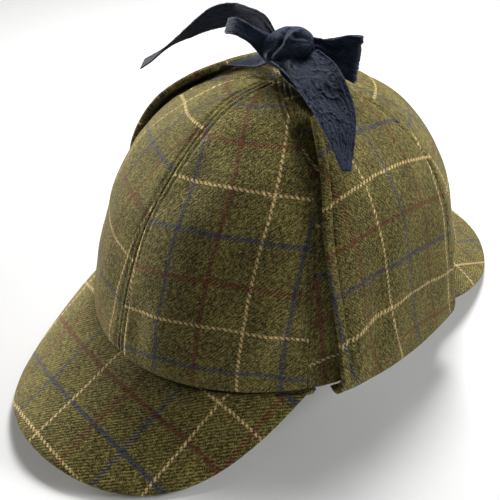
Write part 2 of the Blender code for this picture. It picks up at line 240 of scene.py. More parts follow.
class Signal:
    """A number in a shader. Arithmetic on it adds Math nodes."""

    def __init__(self, kit: "ShaderKit", socket: bpy.types.NodeSocket) -> None:
        self.kit = kit
        self.socket = socket

    def math(self, operation: str, *others: "Signal | float", first: bool = True) -> "Signal":
        """The result of a Math node.

        Args:
            operation: the node's operation.
            others: its other inputs.
            first: False puts this number after the others.

        Returns:
            The node's output.
        """
        inputs = (self, *others) if first else (*others, self)
        node = self.kit.node("ShaderNodeMath", {"operation": operation}, dict(enumerate(inputs)))
        return Signal(self.kit, node.outputs[0])

    def __add__(self, other: "Signal | float") -> "Signal":
        """The sum."""
        return self.math("ADD", other)

    __radd__ = __add__

    def __sub__(self, other: "Signal | float") -> "Signal":
        """The difference."""
        return self.math("SUBTRACT", other)

    def __rsub__(self, other: float) -> "Signal":
        """The difference, taken from a plain number."""
        return self.math("SUBTRACT", other, first=False)

    def __mul__(self, other: "Signal | float") -> "Signal":
        """The product."""
        return self.math("MULTIPLY", other)

    __rmul__ = __mul__

    def __truediv__(self, other: "Signal | float") -> "Signal":
        """The quotient."""
        return self.math("DIVIDE", other)

    def __abs__(self) -> "Signal":
        """The size without the sign."""
        return self.math("ABSOLUTE")

    def wave(self) -> "Signal":
        """The sine."""
        return self.math("SINE")

    def part(self) -> "Signal":
        """What is left over a whole number."""
        return self.math("FRACT")

    def ramp(self, low: float, high: float) -> "Signal":
        """0 at low and 1 at high, smoothly between and level outside.

        Args:
            low: where it starts to rise.
            high: where it is full.

        Returns:
            The result.
        """
        node = self.kit.node(
            "ShaderNodeMapRange",
            {"interpolation_type": "SMOOTHSTEP"},
            {"Value": self, "From Min": low, "From Max": high},
        )
        return Signal(self.kit, node.outputs["Result"])


@dataclass(frozen=True)
class Gloss:
    """How a cloth shines."""

    roughness: float
    sheen: float = 0.0
    sheen_roughness: float = 0.5
    sheen_tint: Color = (1.0, 1.0, 1.0)
    specular: float = 0.5

    def inputs(self) -> dict[str, object]:
        """The values of the Principled shader's inputs."""
        return {
            "Roughness": self.roughness,
            "Sheen Weight": self.sheen,
            "Sheen Roughness": self.sheen_roughness,
            "Sheen Tint": (*self.sheen_tint, 1.0),
            "Specular IOR Level": self.specular,
        }


class ShaderKit:
    """Builds one material's nodes."""

    # the numbers of the Mix node's colour sockets
    MIX_FACTOR, MIX_FIRST, MIX_SECOND, MIX_RESULT = 0, 6, 7, 2

    def __init__(self, name: str) -> None:
        """Starts an empty material.

        Args:
            name: the material's name.
        """
        self.material = bpy.data.materials.new(name)
        self.material.use_nodes = True
        self.nodes = self.material.node_tree.nodes
        self.links = self.material.node_tree.links
        self.nodes.clear()

    def node(self, kind: str, settings: dict[str, object], inputs: dict[object, object]) -> bpy.types.Node:
        """Adds a node.

        Args:
            kind: the node's type.
            settings: its own settings, or "stops" for a ramp's (place, colour) pairs.
            inputs: socket name or number to a value, a Signal or an output socket.

        Returns:
            The node.
        """
        node = self.nodes.new(kind)
        for name, value in settings.items():
            if name == "stops":
                self.set_stops(node, value)
            else:
                setattr(node, name, value)
        for name, value in inputs.items():
            if isinstance(value, Signal):
                self.links.new(value.socket, node.inputs[name])
            elif isinstance(value, bpy.types.NodeSocket):
                self.links.new(value, node.inputs[name])
            else:
                node.inputs[name].default_value = value
        return node

    def set_stops(self, node: bpy.types.Node, stops: Sequence[tuple[float, Color]]) -> None:
        """Gives a ramp its stops.

        Args:
            node: the ramp.
            stops: its (place, colour) pairs.
        """
        elements = node.color_ramp.elements
        while len(elements) < len(stops):
            elements.new(0.5)
        for element, (place, color) in zip(elements, stops):
            element.position = place
            element.color = (*color, 1.0)

    def cloth_place(self) -> tuple[Signal, Signal]:
        """The place on the cloth, in metres, from the piece's own map.

        Returns:
            The place across the cloth and the place up it.
        """
        place = self.node("ShaderNodeUVMap", {"uv_map": CLOTH_MAP}, {})
        split = self.node("ShaderNodeSeparateXYZ", {}, {0: place.outputs[0]})
        return Signal(self, split.outputs[0]), Signal(self, split.outputs[1])

    def vector(self, x: Signal, y: Signal) -> bpy.types.NodeSocket:
        """A flat vector made of two numbers."""
        return self.node("ShaderNodeCombineXYZ", {}, {0: x, 1: y}).outputs[0]

    def noise(self, place: bpy.types.NodeSocket, scale: float, detail: float = 2.0) -> Signal:
        """Noise from 0 to 1."""
        node = self.node("ShaderNodeTexNoise", {}, {"Vector": place, "Scale": scale, "Detail": detail})
        return Signal(self, node.outputs["Fac"])

    def mix(self, share: Signal, first: object, second: object) -> bpy.types.NodeSocket:
        """A colour between two others.

        Args:
            share: the second colour's share.
            first: a colour or an output socket.
            second: another.

        Returns:
            The mixed colour's socket.
        """
        first, second = ((*color, 1.0) if isinstance(color, tuple) else color for color in (first, second))
        inputs = {self.MIX_FACTOR: share, self.MIX_FIRST: first, self.MIX_SECOND: second}
        return self.node("ShaderNodeMix", {"data_type": "RGBA"}, inputs).outputs[self.MIX_RESULT]

    def finish(self, color: object, gloss: Gloss, height: Signal, depth: float) -> bpy.types.Material:
        """Ends the material.

        Args:
            color: its colour.
            gloss: how it shines.
            height: the relief, from 0 to 1.
            depth: how deep the relief is.

        Returns:
            The material.
        """
        bump = self.node("ShaderNodeBump", {}, {"Height": height, "Distance": depth, "Strength": 1.0})
        inputs = {"Base Color": color, **gloss.inputs(), "Normal": bump.outputs[0]}
        shader = self.node("ShaderNodeBsdfPrincipled", {}, inputs)
        self.node("ShaderNodeOutputMaterial", {}, {"Surface": shader.outputs[0]})
        return self.material


# ---------------------------------------------------------------- finishes


class Yarn(Enum):
    """The overcheck's yarns, with their colour and the width of a line."""

    BLUE = ((0.023, 0.036, 0.134), 0.0025)
    RED = ((0.155, 0.018, 0.018), 0.0025)
    CREAM = ((0.90, 0.65, 0.31), 0.0016)

    def __init__(self, color: Color, width: float) -> None:
        """Gives a yarn its colour and width."""
        self.color = color
        self.width = width


@dataclass(frozen=True)
class Grain:
    """Noise in a cloth: its scale and detail, and its share in the weave's relief."""

    scale: float
    detail: float
    share: float


@dataclass(frozen=True)
class Share:
    """A share that noise sets: base where the noise is low, and base + gain where it is high."""

    low: float
    high: float
    gain: float
    base: float

    def of(self, noise: Signal) -> Signal:
        """The share at each value of the noise."""
        return noise.ramp(self.low, self.high) * self.gain + self.base


@dataclass(frozen=True)
class Tweed:
    """Olive wool twill with a windowpane check of blue, red and cream lines."""

    name: str = "olive_tweed"
    rib_share: float = 0.10
    check_pitch: float = 0.021
    rib_pitch: float = 0.00135
    # the ground's two colours in the hollows, the middles and the tops of the weave; besides the yarn's own
    # mottling, the hollows' colours are painted shade and the tops' painted light
    browns: tuple[Color, ...] = ((0.022, 0.016, 0.006), (0.100, 0.075, 0.022), (0.310, 0.235, 0.075))
    greens: tuple[Color, ...] = ((0.016, 0.017, 0.005), (0.084, 0.080, 0.019), (0.290, 0.265, 0.066))
    stops: tuple[float, ...] = (0.24, 0.50, 0.78)
    green_share: float = 0.8
    drift_scale: float = 90.0
    drift: float = 0.0009
    dash: Grain = Grain(1000.0, 2.0, 0.85)
    dash_stretch: float = 0.5
    hair: Grain = Grain(1500.0, 3.0, 1.25)
    fleck: Grain = Grain(420.0, 3.0, 0.60)
    patch: Grain = Grain(60.0, 4.0, 0.36)
    # where a line starts and ends to fade, as shares of its width
    line_edge: tuple[float, float] = (0.25, 0.62)
    cream_dash: float = 0.0027
    cream_slant: float = 0.9
    cream_starts: tuple[float, float] = (0.03, 0.32)
    cream_ends: tuple[float, float] = (0.60, 0.92)
    cream_worn: Share = Share(0.25, 0.6, 0.40, 0.6)
    # how much of a blue or red line shows on the tops of the ribs, and everywhere as loose hair
    float_worn: Share = Share(0.3, 0.6, 0.35, 0.40)
    float_hair: Share = Share(0.38, 0.6, 0.22, 0.06)
    # the values between which the yarn's floats and the green come in, a line turns from its painted-shade
    # copy to its painted-light copy, and the weave rises
    float_between: tuple[float, float] = (-0.7, 0.6)
    green_between: tuple[float, float] = (0.35, 0.65)
    shade_to_lit_between: tuple[float, float] = (0.3, 0.75)
    raised_between: tuple[float, float] = (0.15, 0.9)
    # the share of a line's colour in its painted-shade copy, in the weave's hollows
    shade: float = 0.5
    relief: float = 0.0005
    gloss: Gloss = Gloss(0.95, 0.28, 0.45, (0.80, 0.73, 0.40), 0.15)

    def line(self, place: Signal, order: int, width: float) -> Signal:
        """1 on the lines of one yarn and 0 between them.

        Args:
            place: the place across the lines.
            order: which of the three lines of a repeat this is.
            width: the line's width.

        Returns:
            The mask.
        """
        repeat = len(Yarn) * self.check_pitch
        from_line = abs(((place - order * self.check_pitch) / repeat + 0.5).part() - 0.5) * repeat
        return 1 - from_line.ramp(*(share * width for share in self.line_edge))

    def cream_dashes(self, mask: Signal, along: Signal, hair: Signal) -> Signal:
        """A cream line's mask, broken into slanted dashes along it.

        Args:
            mask: the line's mask.
            along: the place along the line.
            hair: the noise of its loose hair.

        Returns:
            The broken mask.
        """
        dashes = (along / self.cream_dash).part()
        mask = mask * dashes.ramp(*self.cream_starts) * (1 - dashes.ramp(*self.cream_ends))
        return mask * self.cream_worn.of(hair)

    def twill_floats(self, mask: Signal, rib: Signal, hair: Signal, fleck: Signal) -> Signal:
        """A blue or red line's mask, where its yarn dips under the ground's at each rib."""
        floats = rib.ramp(*self.float_between) * self.float_worn.of(fleck)
        return mask * (floats + self.float_hair.of(hair))

    def ground(self, kit: ShaderKit, weave: Signal, colors: tuple[Color, ...]) -> bpy.types.NodeSocket:
        """The ground's colour over the weave: painted shade in its hollows, painted light on its tops."""
        stops = tuple(zip(self.stops, colors))
        return kit.node("ShaderNodeValToRGB", {"stops": stops}, {0: weave}).outputs[0]

    def build(self) -> bpy.types.Material:
        """Makes the material.

        Returns:
            The material.
        """
        kit = ShaderKit(self.name)
        across, up = kit.cloth_place()
        place = kit.vector(across, up)
        drift = (kit.noise(place, self.drift_scale) - 0.5) * self.drift
        diagonal = math.sqrt(0.5)
        along_rib = (across + up) * diagonal
        over_ribs = (across - up) * diagonal + drift
        rib = (over_ribs * (FULL_TURN / self.rib_pitch)).wave()
        dash_place = kit.vector(along_rib * self.dash_stretch, over_ribs)
        dash = kit.noise(dash_place, self.dash.scale, self.dash.detail)
        hair, fleck, patch = (
            kit.noise(place, grain.scale, grain.detail) for grain in (self.hair, self.fleck, self.patch)
        )
        weave = 0.5 + rib * (dash * self.rib_share)
        for noise, grain in ((dash, self.dash), (hair, self.hair), (fleck, self.fleck), (patch, self.patch)):
            weave = weave + (noise - 0.5) * grain.share
        # the ground is painted darker in the weave's hollows as shade and lighter on its tops as light, over
        # the yarn's own mottling
        brown, green = (self.ground(kit, weave, colors) for colors in (self.browns, self.greens))
        color = kit.mix(fleck.ramp(*self.green_between) * self.green_share, brown, green)
        for axis, other, sign, orders in (
            (across, up, 1.0, (Yarn.BLUE, Yarn.RED, Yarn.CREAM)),
            (up, across, -1.0, (Yarn.BLUE, Yarn.CREAM, Yarn.RED)),
        ):
            for order, yarn in enumerate(orders):
                mask = self.line(axis + drift, order, yarn.width)
                if yarn is Yarn.CREAM:
                    mask = self.cream_dashes(mask, other + axis * self.cream_slant, hair)
                else:
                    mask = self.twill_floats(mask, rib * sign, hair, fleck)
                # each line is painted at half its colour in the weave's hollows as shade and at full colour
                # on its tops as light
                shade = tuple(self.shade * part for part in yarn.color)
                color = kit.mix(mask, color, kit.mix(weave.ramp(*self.shade_to_lit_between), shade, yarn.color))
        return kit.finish(color, self.gloss, weave.ramp(*self.raised_between), self.relief)


@dataclass(frozen=True)
class Crepe:
    """Dark crinkled crepe ribbon."""

    name: str = "dark_crepe"
    # the crepe's colour in the crinkles' hollows, painted darker as shade, and on their tops, painted lighter
    # as light
    dark: Color = (0.0070, 0.0105, 0.0205)
    light: Color = (0.0210, 0.0310, 0.0560)
    crinkle: Grain = Grain(620.0, 4.0, 1.1)
    crinkle_stretch: float = 0.3
    grain: Grain = Grain(2400.0, 2.0, 0.7)
    middle: float = 0.45
    shade_to_lit_between: tuple[float, float] = (0.1, 0.95)
    relief: float = 0.0004
    gloss: Gloss = Gloss(0.55, 0.06, 0.40, (0.55, 0.68, 1.0), 0.10)

    def build(self) -> bpy.types.Material:
        """Makes the material.

        Returns:
            The material.
        """
        kit = ShaderKit(self.name)
        across, up = kit.cloth_place()
        pulled = kit.vector(across, up * self.crinkle_stretch)
        crinkle = kit.noise(pulled, self.crinkle.scale, self.crinkle.detail)
        grain = kit.noise(kit.vector(across, up), self.grain.scale, self.grain.detail)
        # the colour follows the crinkles' relief and the crepe's grain: painted shade in the hollows and
        # painted light on the tops
        shade = (crinkle - 0.5) * self.crinkle.share + (grain - 0.5) * self.grain.share + self.middle
        color = kit.mix(shade.ramp(*self.shade_to_lit_between), self.dark, self.light)
        return kit.finish(color, self.gloss, shade.ramp(0.0, 1.0), self.relief)


@dataclass(frozen=True)
class PlainFinish:
    """A plain cloth or thread with a fine grain."""

    name: str
    color: Color
    roughness: float
    grain: float = 1800.0
    shade: float = 0.6
    relief: float = 0.0002

    def build(self) -> bpy.types.Material:
        """Makes the material.

        Returns:
            The material.
        """
        kit = ShaderKit(self.name)
        grain = kit.noise(kit.node("ShaderNodeTexCoord", {}, {}).outputs["Object"], self.grain)
        darker = tuple(self.shade * part for part in self.color)
        return kit.finish(kit.mix(grain, self.color, darker), Gloss(self.roughness), grain, self.relief)


class Wardrobe:
    """The hat's finishes, each made once."""

    def __init__(self) -> None:
        """Makes the finishes."""
        self.tweed = Tweed().build()
        self.taut_tweed = Tweed("olive_tweed_taut", rib_share=0.22).build()
        self.crepe = Crepe().build()
        self.lining = PlainFinish("dark_lining", color=(0.020, 0.022, 0.016), roughness=0.5).build()
        self.thread = PlainFinish("olive_thread", color=(0.060, 0.055, 0.022), roughness=0.8).build()


# ---------------------------------------------------------------- cloth sheets


@dataclass
class Sheet:
    """A piece of cloth with rounded edges, from a grid of points through the middle of its wall."""

    name: str
    grid: Array
    cloth: Array
    thickness: float
    rounding: float
    squareness: float = 0.0

    def halves(self) -> tuple[Array, Array]:
        """The face side and the back side of the wall, which meet at the edges.

        Returns:
            The points of the face side and of the back side.
        """
        closeness = unit(edge_distance(self.grid) / self.rounding)
        half = self.squareness + (1 - self.squareness) * np.sqrt(1 - (1 - closeness) ** 2)
        half = np.where(closeness > 0, half, 0) * self.thickness / 2
        return raised(self.grid, half), raised(self.grid, -half)

    def build(self, material: bpy.types.Material, settle: Callable | None = None) -> bpy.types.Object:
        """Makes the piece as a closed mesh in the world.

        Args:
            material: its finish.
            settle: moves the world points that touch the ground, or nothing.

        Returns:
            The object.
        """
        rows, columns = self.grid.shape[:2]
        face, back = self.halves()
        inner = np.zeros((rows, columns), bool)
        inner[1:-1, 1:-1] = True
        points = HAT_FRAME.to_world(np.concatenate([face.reshape(-1, 3), back[inner]]))
        if settle:
            points = settle(points)
        face_ids = np.arange(rows * columns).reshape(rows, columns)
        back_ids = face_ids.copy()
        back_ids[inner] = rows * columns + np.arange(inner.sum())
        faces = np.concatenate([self.quads(face_ids, False), self.quads(back_ids, True)])
        cloth = np.concatenate([self.cloth.reshape(-1, 2), self.cloth[inner]])
        return make_object(self.name, points, faces, cloth, material)

    @staticmethod
    def quads(ids: Array, turned: bool) -> Array:
        """The quads over a grid of vertex numbers, turned over for the back.

        Args:
            ids: the vertex numbers.
            turned: True for the back.

        Returns:
            The four vertex numbers of each quad.
        """
        corners = [ids[:-1, :-1], ids[:-1, 1:], ids[1:, 1:], ids[1:, :-1]]
        if turned:
            corners = corners[::-1]
        return np.stack([c.ravel() for c in corners], axis=1)


def ring_ids(rows: int, count: int) -> Array:
    """The vertex numbers of a grid that closes on itself, its first column repeated at the end."""
    ids = np.arange(rows * count).reshape(rows, count)
    return np.concatenate([ids, ids[:, :1]], axis=1)


def link_object(name: str, data: object) -> bpy.types.Object:
    """Makes an object of some data and puts it in the scene.

    Args:
        name: the object's name.
        data: its data.

    Returns:
        The object.
    """
    obj = bpy.data.objects.new(name, data)
    bpy.context.scene.collection.objects.link(obj)
    return obj


def make_object(
    name: str, points: Array, faces: Array, cloth: Array, material: bpy.types.Material
) -> bpy.types.Object:
    """Makes a smooth mesh object with its place on the cloth as a UV map.

    Args:
        name: the object's name.
        points: its vertices, in the world.
        faces: the vertex numbers of its faces.
        cloth: the place on the cloth of each vertex.
        material: its finish.

    Returns:
        The object.
    """
    mesh = bpy.data.meshes.new(name)
    mesh.from_pydata(points.tolist(), [], faces.tolist())
    layer = mesh.uv_layers.new(name=CLOTH_MAP)
    loops = np.empty(len(mesh.loops), np.int32)
    mesh.loops.foreach_get("vertex_index", loops)
    layer.data.foreach_set("uv", cloth[loops].astype(np.float32).ravel())
    mesh.materials.append(material)
    mesh.shade_smooth()
    return link_object(name, mesh)


def hand_over(piece: bpy.types.Object, slot: str, *nodes: str) -> None:
    """Puts a piece in the hat: it rides on the hat's body and stands for the named solids.

    Args:
        piece: the piece.
        slot: not used.
        nodes: the names of the solids that it stands for.
    """
    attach(piece, "root")
    if nodes:
        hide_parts(*nodes)
    log.info("%s: %d faces", piece.name, len(piece.data.polygons))


@dataclass(frozen=True)
class Pattern:
    """The flat piece that a sheet is cut from, and how the sheet is held."""

    width: float
    length: float
    held: str
    share: float = 1.0

    def declare(self, piece: bpy.types.Object, *rests_on: str) -> None:
        """Does nothing."""


@dataclass(frozen=True)
class CheckLay:
    """How the check lies on a piece: which line is at its origin and how the lines run on.

    Each entry holds the line's number at the origin, then the lines met in a metre across the
    piece and in a metre up it, then how they bow with across x across and with across x up. far_bow
    is the further bow of the up lines on the side before the piece's middle.
    """

    across: tuple[float, float, float, float, float]
    up: tuple[float, float, float, float, float]
    far_bow: float = 0.0

    def place(self, u: Array, v: Array) -> Array:
        """The place on the cloth of points given in metres across and up the piece.

        Args:
            u: how far each point lies across the piece.
            v: how far it lies up it.

        Returns:
            The place on the cloth of each point.
        """
        terms = (1.0, u, v, u**2, u * v)
        lines = [sum(c * term for c, term in zip(entry, terms)) + 0 * u for entry in (self.across, self.up)]
        lines[1] = lines[1] + self.far_bow * np.minimum(u, 0) ** 2
        return np.stack(lines, axis=-1) * Tweed.check_pitch


# ---------------------------------------------------------------- crown


@dataclass
class Crown:
    """The six gores, sewn edge to edge, with their lining, sweatband and topstitching."""

    # rise above the hem, then the distances from the crown's axis to the front, side and rear
    sections: tuple = (
        (0.0000, 0.1072, 0.0912, 0.1068),
        (0.0213, 0.1035, 0.0882, 0.1054),
        (0.0449, 0.0959, 0.0840, 0.0998),
        (0.0686, 0.0842, 0.0780, 0.0900),
        (0.0898, 0.0662, 0.0655, 0.0755),
        (0.1052, 0.0482, 0.0450, 0.0580),
        (0.1147, 0.0300, 0.0225, 0.0365),
        (0.1182, 0.0000, 0.0000, 0.0000),
    )
    forward: float = 0.0042
    top: float = 0.993
    gore_angle: float = 60.0
    cloth: float = 0.0020
    # how far the middle of a gore swells, and how quickly it does from hem to tip
    puff: float = 0.0011
    puff_power: float = 0.7
    seam_gap: float = 0.00006
    seam_rounding: float = 0.0007
    seam_squareness: float = 0.62
    stitch_inset: float = 0.0027
    # a gore narrower than this, near the apex, carries no stitches
    stitched_width: float = 0.014
    hem_gap: float = 0.0010
    # where the hem starts to stand off the front peak, stands off most, and meets it again
    gap_angles: tuple[float, ...] = (12.0, 36.0, 50.0, 66.0)
    # dents in each gore: how much longer than wide they are, then their places across and up the
    # gore, depth and size
    dent_stretch: float = 1.6
    dents: tuple = (
        (0.0110, 0.0170, 0.0015, 0.0060),
        (0.0230, 0.0260, -0.0012, 0.0080),
        (0.0820, 0.0180, 0.0013, 0.0070),
        (0.0740, 0.0320, -0.0010, 0.0080),
    )
    # unevenness of the cloth: lengths across and up, height, and how far from a seam it is full
    lumps: tuple[float, ...] = (0.030, 0.026, 0.0020, 0.012)
    # the stitches' pull: length up the seam, place in the noise, height, and reach from the seam
    puckers: tuple[float, ...] = (0.0060, 3.5, 0.0006, 0.007)
    # depth and width of the stitches' groove and of the seam's dip
    groove: tuple[float, float] = (0.00055, 0.0008)
    dip: tuple[float, float] = (0.00035, 0.0011)
    edge_fade: float = 0.003
    side_arch: float = 0.0036
    arch_from: float = 62.0
    arch_to: float = 150.0
    rows: int = 110
    columns: int = 56
    # for rows and for columns: how they crowd towards a gore's edges, and the edges' margins
    crowding: tuple[float, float] = (0.35, 0.6)
    margins: tuple[float, float] = (0.004, 0.006)
    # rows that carry no stitches at the hem and at the tip
    unstitched: tuple[int, int] = (2, 9)
    first_seed: int = 20
    # inset from the outside, start above the hem and sag at the apex
    lining: tuple[float, ...] = (0.0026, 0.006, 0.0022)
    lining_cloth: float = 0.0006
    lining_top: float = 0.9995
    lining_rows: int = 60
    lining_columns: int = 97
    # inset from the outside, and the shares of the crown's height at its lower and upper edge
    band: tuple[float, ...] = (0.0036, -0.0085, 0.190)
    band_cloth: float = 0.0010
    band_rounding: float = 0.0008
    band_rows: int = 20
    end_pattern: Pattern = Pattern(0.101, 0.175, "stretched", 0.66)
    side_pattern: Pattern = Pattern(0.111, 0.168, "stretched", 0.66)
    lining_pattern: Pattern = Pattern(0.61, 0.175, "stretched", 0.63)
    band_pattern: Pattern = Pattern(0.61, 0.028, "stretched")
    lays: dict = field(default_factory=lambda: {
        "front_left": (0, CheckLay((1.19, 48.0, -0.4, 0, 27.0), (-0.57, 0, 46.0, 139.0, 0))),
        "side_left": (60, CheckLay((0.30, 48.0, 0, 0, 0), (0.20, 0, 46.0, 60.0, 0))),
        "rear_left": (120, CheckLay((0.60, 48.0, 0, 0, 0), (1.10, 0, 46.0, 60.0, 0))),
        "rear_right": (-180, CheckLay((1.40, 48.0, 0, 0, 0), (0.55, 0, 46.0, 60.0, 0))),
        "side_right": (-120, CheckLay((2.20, 48.0, 0, 0, 0), (1.60, 0, 46.0, 60.0, 0))),
        "front_right": (-60, CheckLay((-0.45, 64.5, 0, 0, 0), (-1.42, -1.2, 44.4, 120.0, 0), 360.0)),
    })

    def section(self, heights: Array) -> Array:
        """The sections at shares of the way up the wall, 0 at the hem and 1 at the apex.

        Args:
            heights: the shares of the way up.

        Returns:
            The rise and the three distances at each share.
        """
        table = np.array(self.sections)
        below, above = table[1].copy(), table[-2].copy()
        below[0] *= -1
        above[1:] *= -1
        extended = np.vstack([below, table, above])
        return read_table(extended, 1 + heights * (len(table) - 1))

    def point(self, angle: Array, height: Array, swell: Array | float = 0.0) -> Array:
        """Points on the outside of the cloth.

        Args:
            angle: degrees round from the front, 90 at the wearer's left.
            height: shares of the way up the wall.
            swell: how far to stand out from the plain shape.

        Returns:
            The points, in the rim frame.
        """
        angle, height, swell = np.broadcast_arrays(angle, height, swell)
        rise, front, side, rear = self.section(height.ravel()).T.reshape(4, *height.shape)
        turn = np.radians(angle)
        length = np.where(np.cos(turn) >= 0, front, rear)
        forward = self.forward * (rise / self.sections[-1][0]) ** 2
        x = (side + swell) * np.sin(turn)
        return np.stack([x, -(length + swell) * np.cos(turn) - forward, rise], axis=-1)

    def hem_rise(self, angle: Array) -> Array:
        """How far the hem arches up behind the ear.

        Args:
            angle: degrees round from the front.

        Returns:
            The hem's height above the plain hem.
        """
        share = (np.abs(angle) - self.arch_from) / (self.arch_to - self.arch_from)
        inside = (share > 0) & (share < 1)
        return np.where(inside, self.side_arch * np.sin(math.pi * unit(share)) ** 2, 0.0)

    def as_height(self, rise: Array) -> Array:
        """A small rise above the hem as a share of the crown's height."""
        return rise / self.sections[1][0] / (len(self.sections) - 1)

    def hem_height(self, angle: Array) -> Array:
        """The share of the crown's height at which the hem lies."""
        return self.as_height(self.hem_rise(angle))

    def gore_grid(self, start: float) -> Array:
        """The points of one gore's outside, from its hem to its tip.

        Args:
            start: the angle of the gore's first seam.

        Returns:
            The points, in the rim frame.
        """
        up, across = (
            edged(crowd(count, share), margin)
            for count, share, margin in zip((self.rows, self.columns), self.crowding, self.margins)
        )
        up, across = (up * self.top)[:, None], across[None, :]
        radius = np.linalg.norm(self.point(start, up) - self.point(start + 180, up), axis=2) / 2
        margin = np.degrees((self.seam_gap / 2) / np.maximum(radius, self.seam_gap))
        angle = start + margin + (self.gore_angle - 2 * margin) * across
        gap = self.hem_gap * np.interp(np.abs(angle), self.gap_angles, (0, 1, 1, 0))
        hem = self.hem_height(angle) + self.as_height(gap)
        height = hem + (1 - hem) * up
        swell = self.puff * np.sin(math.pi * across) * np.sin(math.pi * up) ** self.puff_power
        return self.point(angle, height, swell)

    def soften(self, grid: Array, seed: int) -> Array:
        """Adds the cloth's slight unevenness, and the pull of the stitches beside the seams.

        Args:
            grid: the gore's plain points.
            seed: the noise's seed.

        Returns:
            The points, moved.
        """
        ripple = Ripple(seed)
        u, v = cloth_lengths(grid)
        from_seam = side_distance(u)
        dents = sum(
            depth * hump(u - at_u, size) * hump(v - at_v, self.dent_stretch * size)
            for at_u, at_v, depth, size in self.dents
        )
        across, up, height, clear = self.lumps
        lumps = ripple.at(u / across, v / up) * height * unit(from_seam / clear)
        length, place, height, reach = self.puckers
        puckers = ripple.at(v / length, u * 0 + place) * height * hump(from_seam, reach)
        groove = self.groove[0] * hump(from_seam - self.stitch_inset, self.groove[1])
        dip = self.dip[0] * hump(from_seam, self.dip[1])
        fade = unit(edge_distance(grid) / self.edge_fade)
        return raised(grid, (lumps + puckers - dents) * fade - groove - dip)

    def cloth_map(self, grid: Array, lay: CheckLay) -> Array:
        """Where the gore's points lie on the cloth.

        Args:
            grid: the gore's points.
            lay: how the check lies on it.

        Returns:
            The place on the cloth of each point.
        """
        u, v = cloth_lengths(grid)
        middle = grid.shape[1] // 2
        return lay.place(u - u[:, [middle]], np.broadcast_to(v[:, [middle]], u.shape))

    def build(self, wardrobe: Wardrobe) -> None:
        """Makes the gores, the lining and the topstitching.

        Args:
            wardrobe: the hat's finishes.
        """
        for seed, (name, (start, lay)) in enumerate(self.lays.items(), self.first_seed):
            plain = self.gore_grid(start)
            grid = self.soften(plain, seed)
            middle = raised(grid, np.full(grid.shape[:2], -self.cloth / 2))
            cloth = self.cloth_map(plain, lay)
            wall = self.cloth, self.seam_rounding, self.seam_squareness
            piece = Sheet("panel_" + name, middle, cloth, *wall).build(wardrobe.tweed)
            hand_over(piece, "tweed", "crown_panel_" + name)
            (self.side_pattern if "side" in name else self.end_pattern).declare(piece, "crown_lining")
            StitchRow("topstitch_" + name, self.stitch_lines(grid)).build(wardrobe)
        self.build_lining(wardrobe)

    def stitch_lines(self, grid: Array) -> list[Array]:
        """The two rows of stitches beside a gore's seams, as lines of points.

        Args:
            grid: the gore's points.

        Returns:
            A line for each seam.
        """
        u = lengths_along(grid, 1)
        first, last = self.unstitched[0], grid.shape[0] - self.unstitched[1]
        rows = [row for row in range(first, last) if u[row, -1] > self.stitched_width]
        lines = []
        for from_end in (False, True):
            wants = [u[row, -1] - self.stitch_inset if from_end else self.stitch_inset for row in rows]
            lines.append(np.array([
                [np.interp(want, u[row], grid[row, :, k]) for k in range(3)] for row, want in zip(rows, wants)
            ]))
        return lines

    def build_lining(self, wardrobe: Wardrobe) -> None:
        """The plain lining, one smooth dome inside the gores, and the sweatband inside the hem.

        Args:
            wardrobe: the hat's finishes.
        """
        angle = np.linspace(0, 360, self.lining_columns)[None, :]
        rim = self.hem_height(np.where(angle > 180, angle - 360, angle))
        inset, start, sag = self.lining
        hem = rim + start
        height = hem + (self.lining_top - hem) * np.linspace(0, 1, self.lining_rows)[:, None]
        grid = self.point(angle, height, -inset)
        grid[..., 2] -= sag * height**2
        lining = Sheet("crown_lining", grid, grid[..., :2], self.lining_cloth, self.lining_cloth)
        inset, low, high = self.band
        rise = crowd(self.band_rows)[:, None]
        grid = self.point(angle, rim + low + (high - low) * rise, -inset)
        place = lengths_along(grid, 1)[..., None] * (1, 0) + rise[..., None] * (0, self.band_pattern.length)
        band = Sheet("sweatband", grid, place, self.band_cloth, self.band_rounding)
        for sheet, pattern, rests_on in (
            (lining, self.lining_pattern, "panel_front_left"),
            (band, self.band_pattern, "crown_lining"),
        ):
            piece = sheet.build(wardrobe.lining)
            hand_over(piece, "tweed")
            pattern.declare(piece, rests_on)


# ---------------------------------------------------------------- stitches


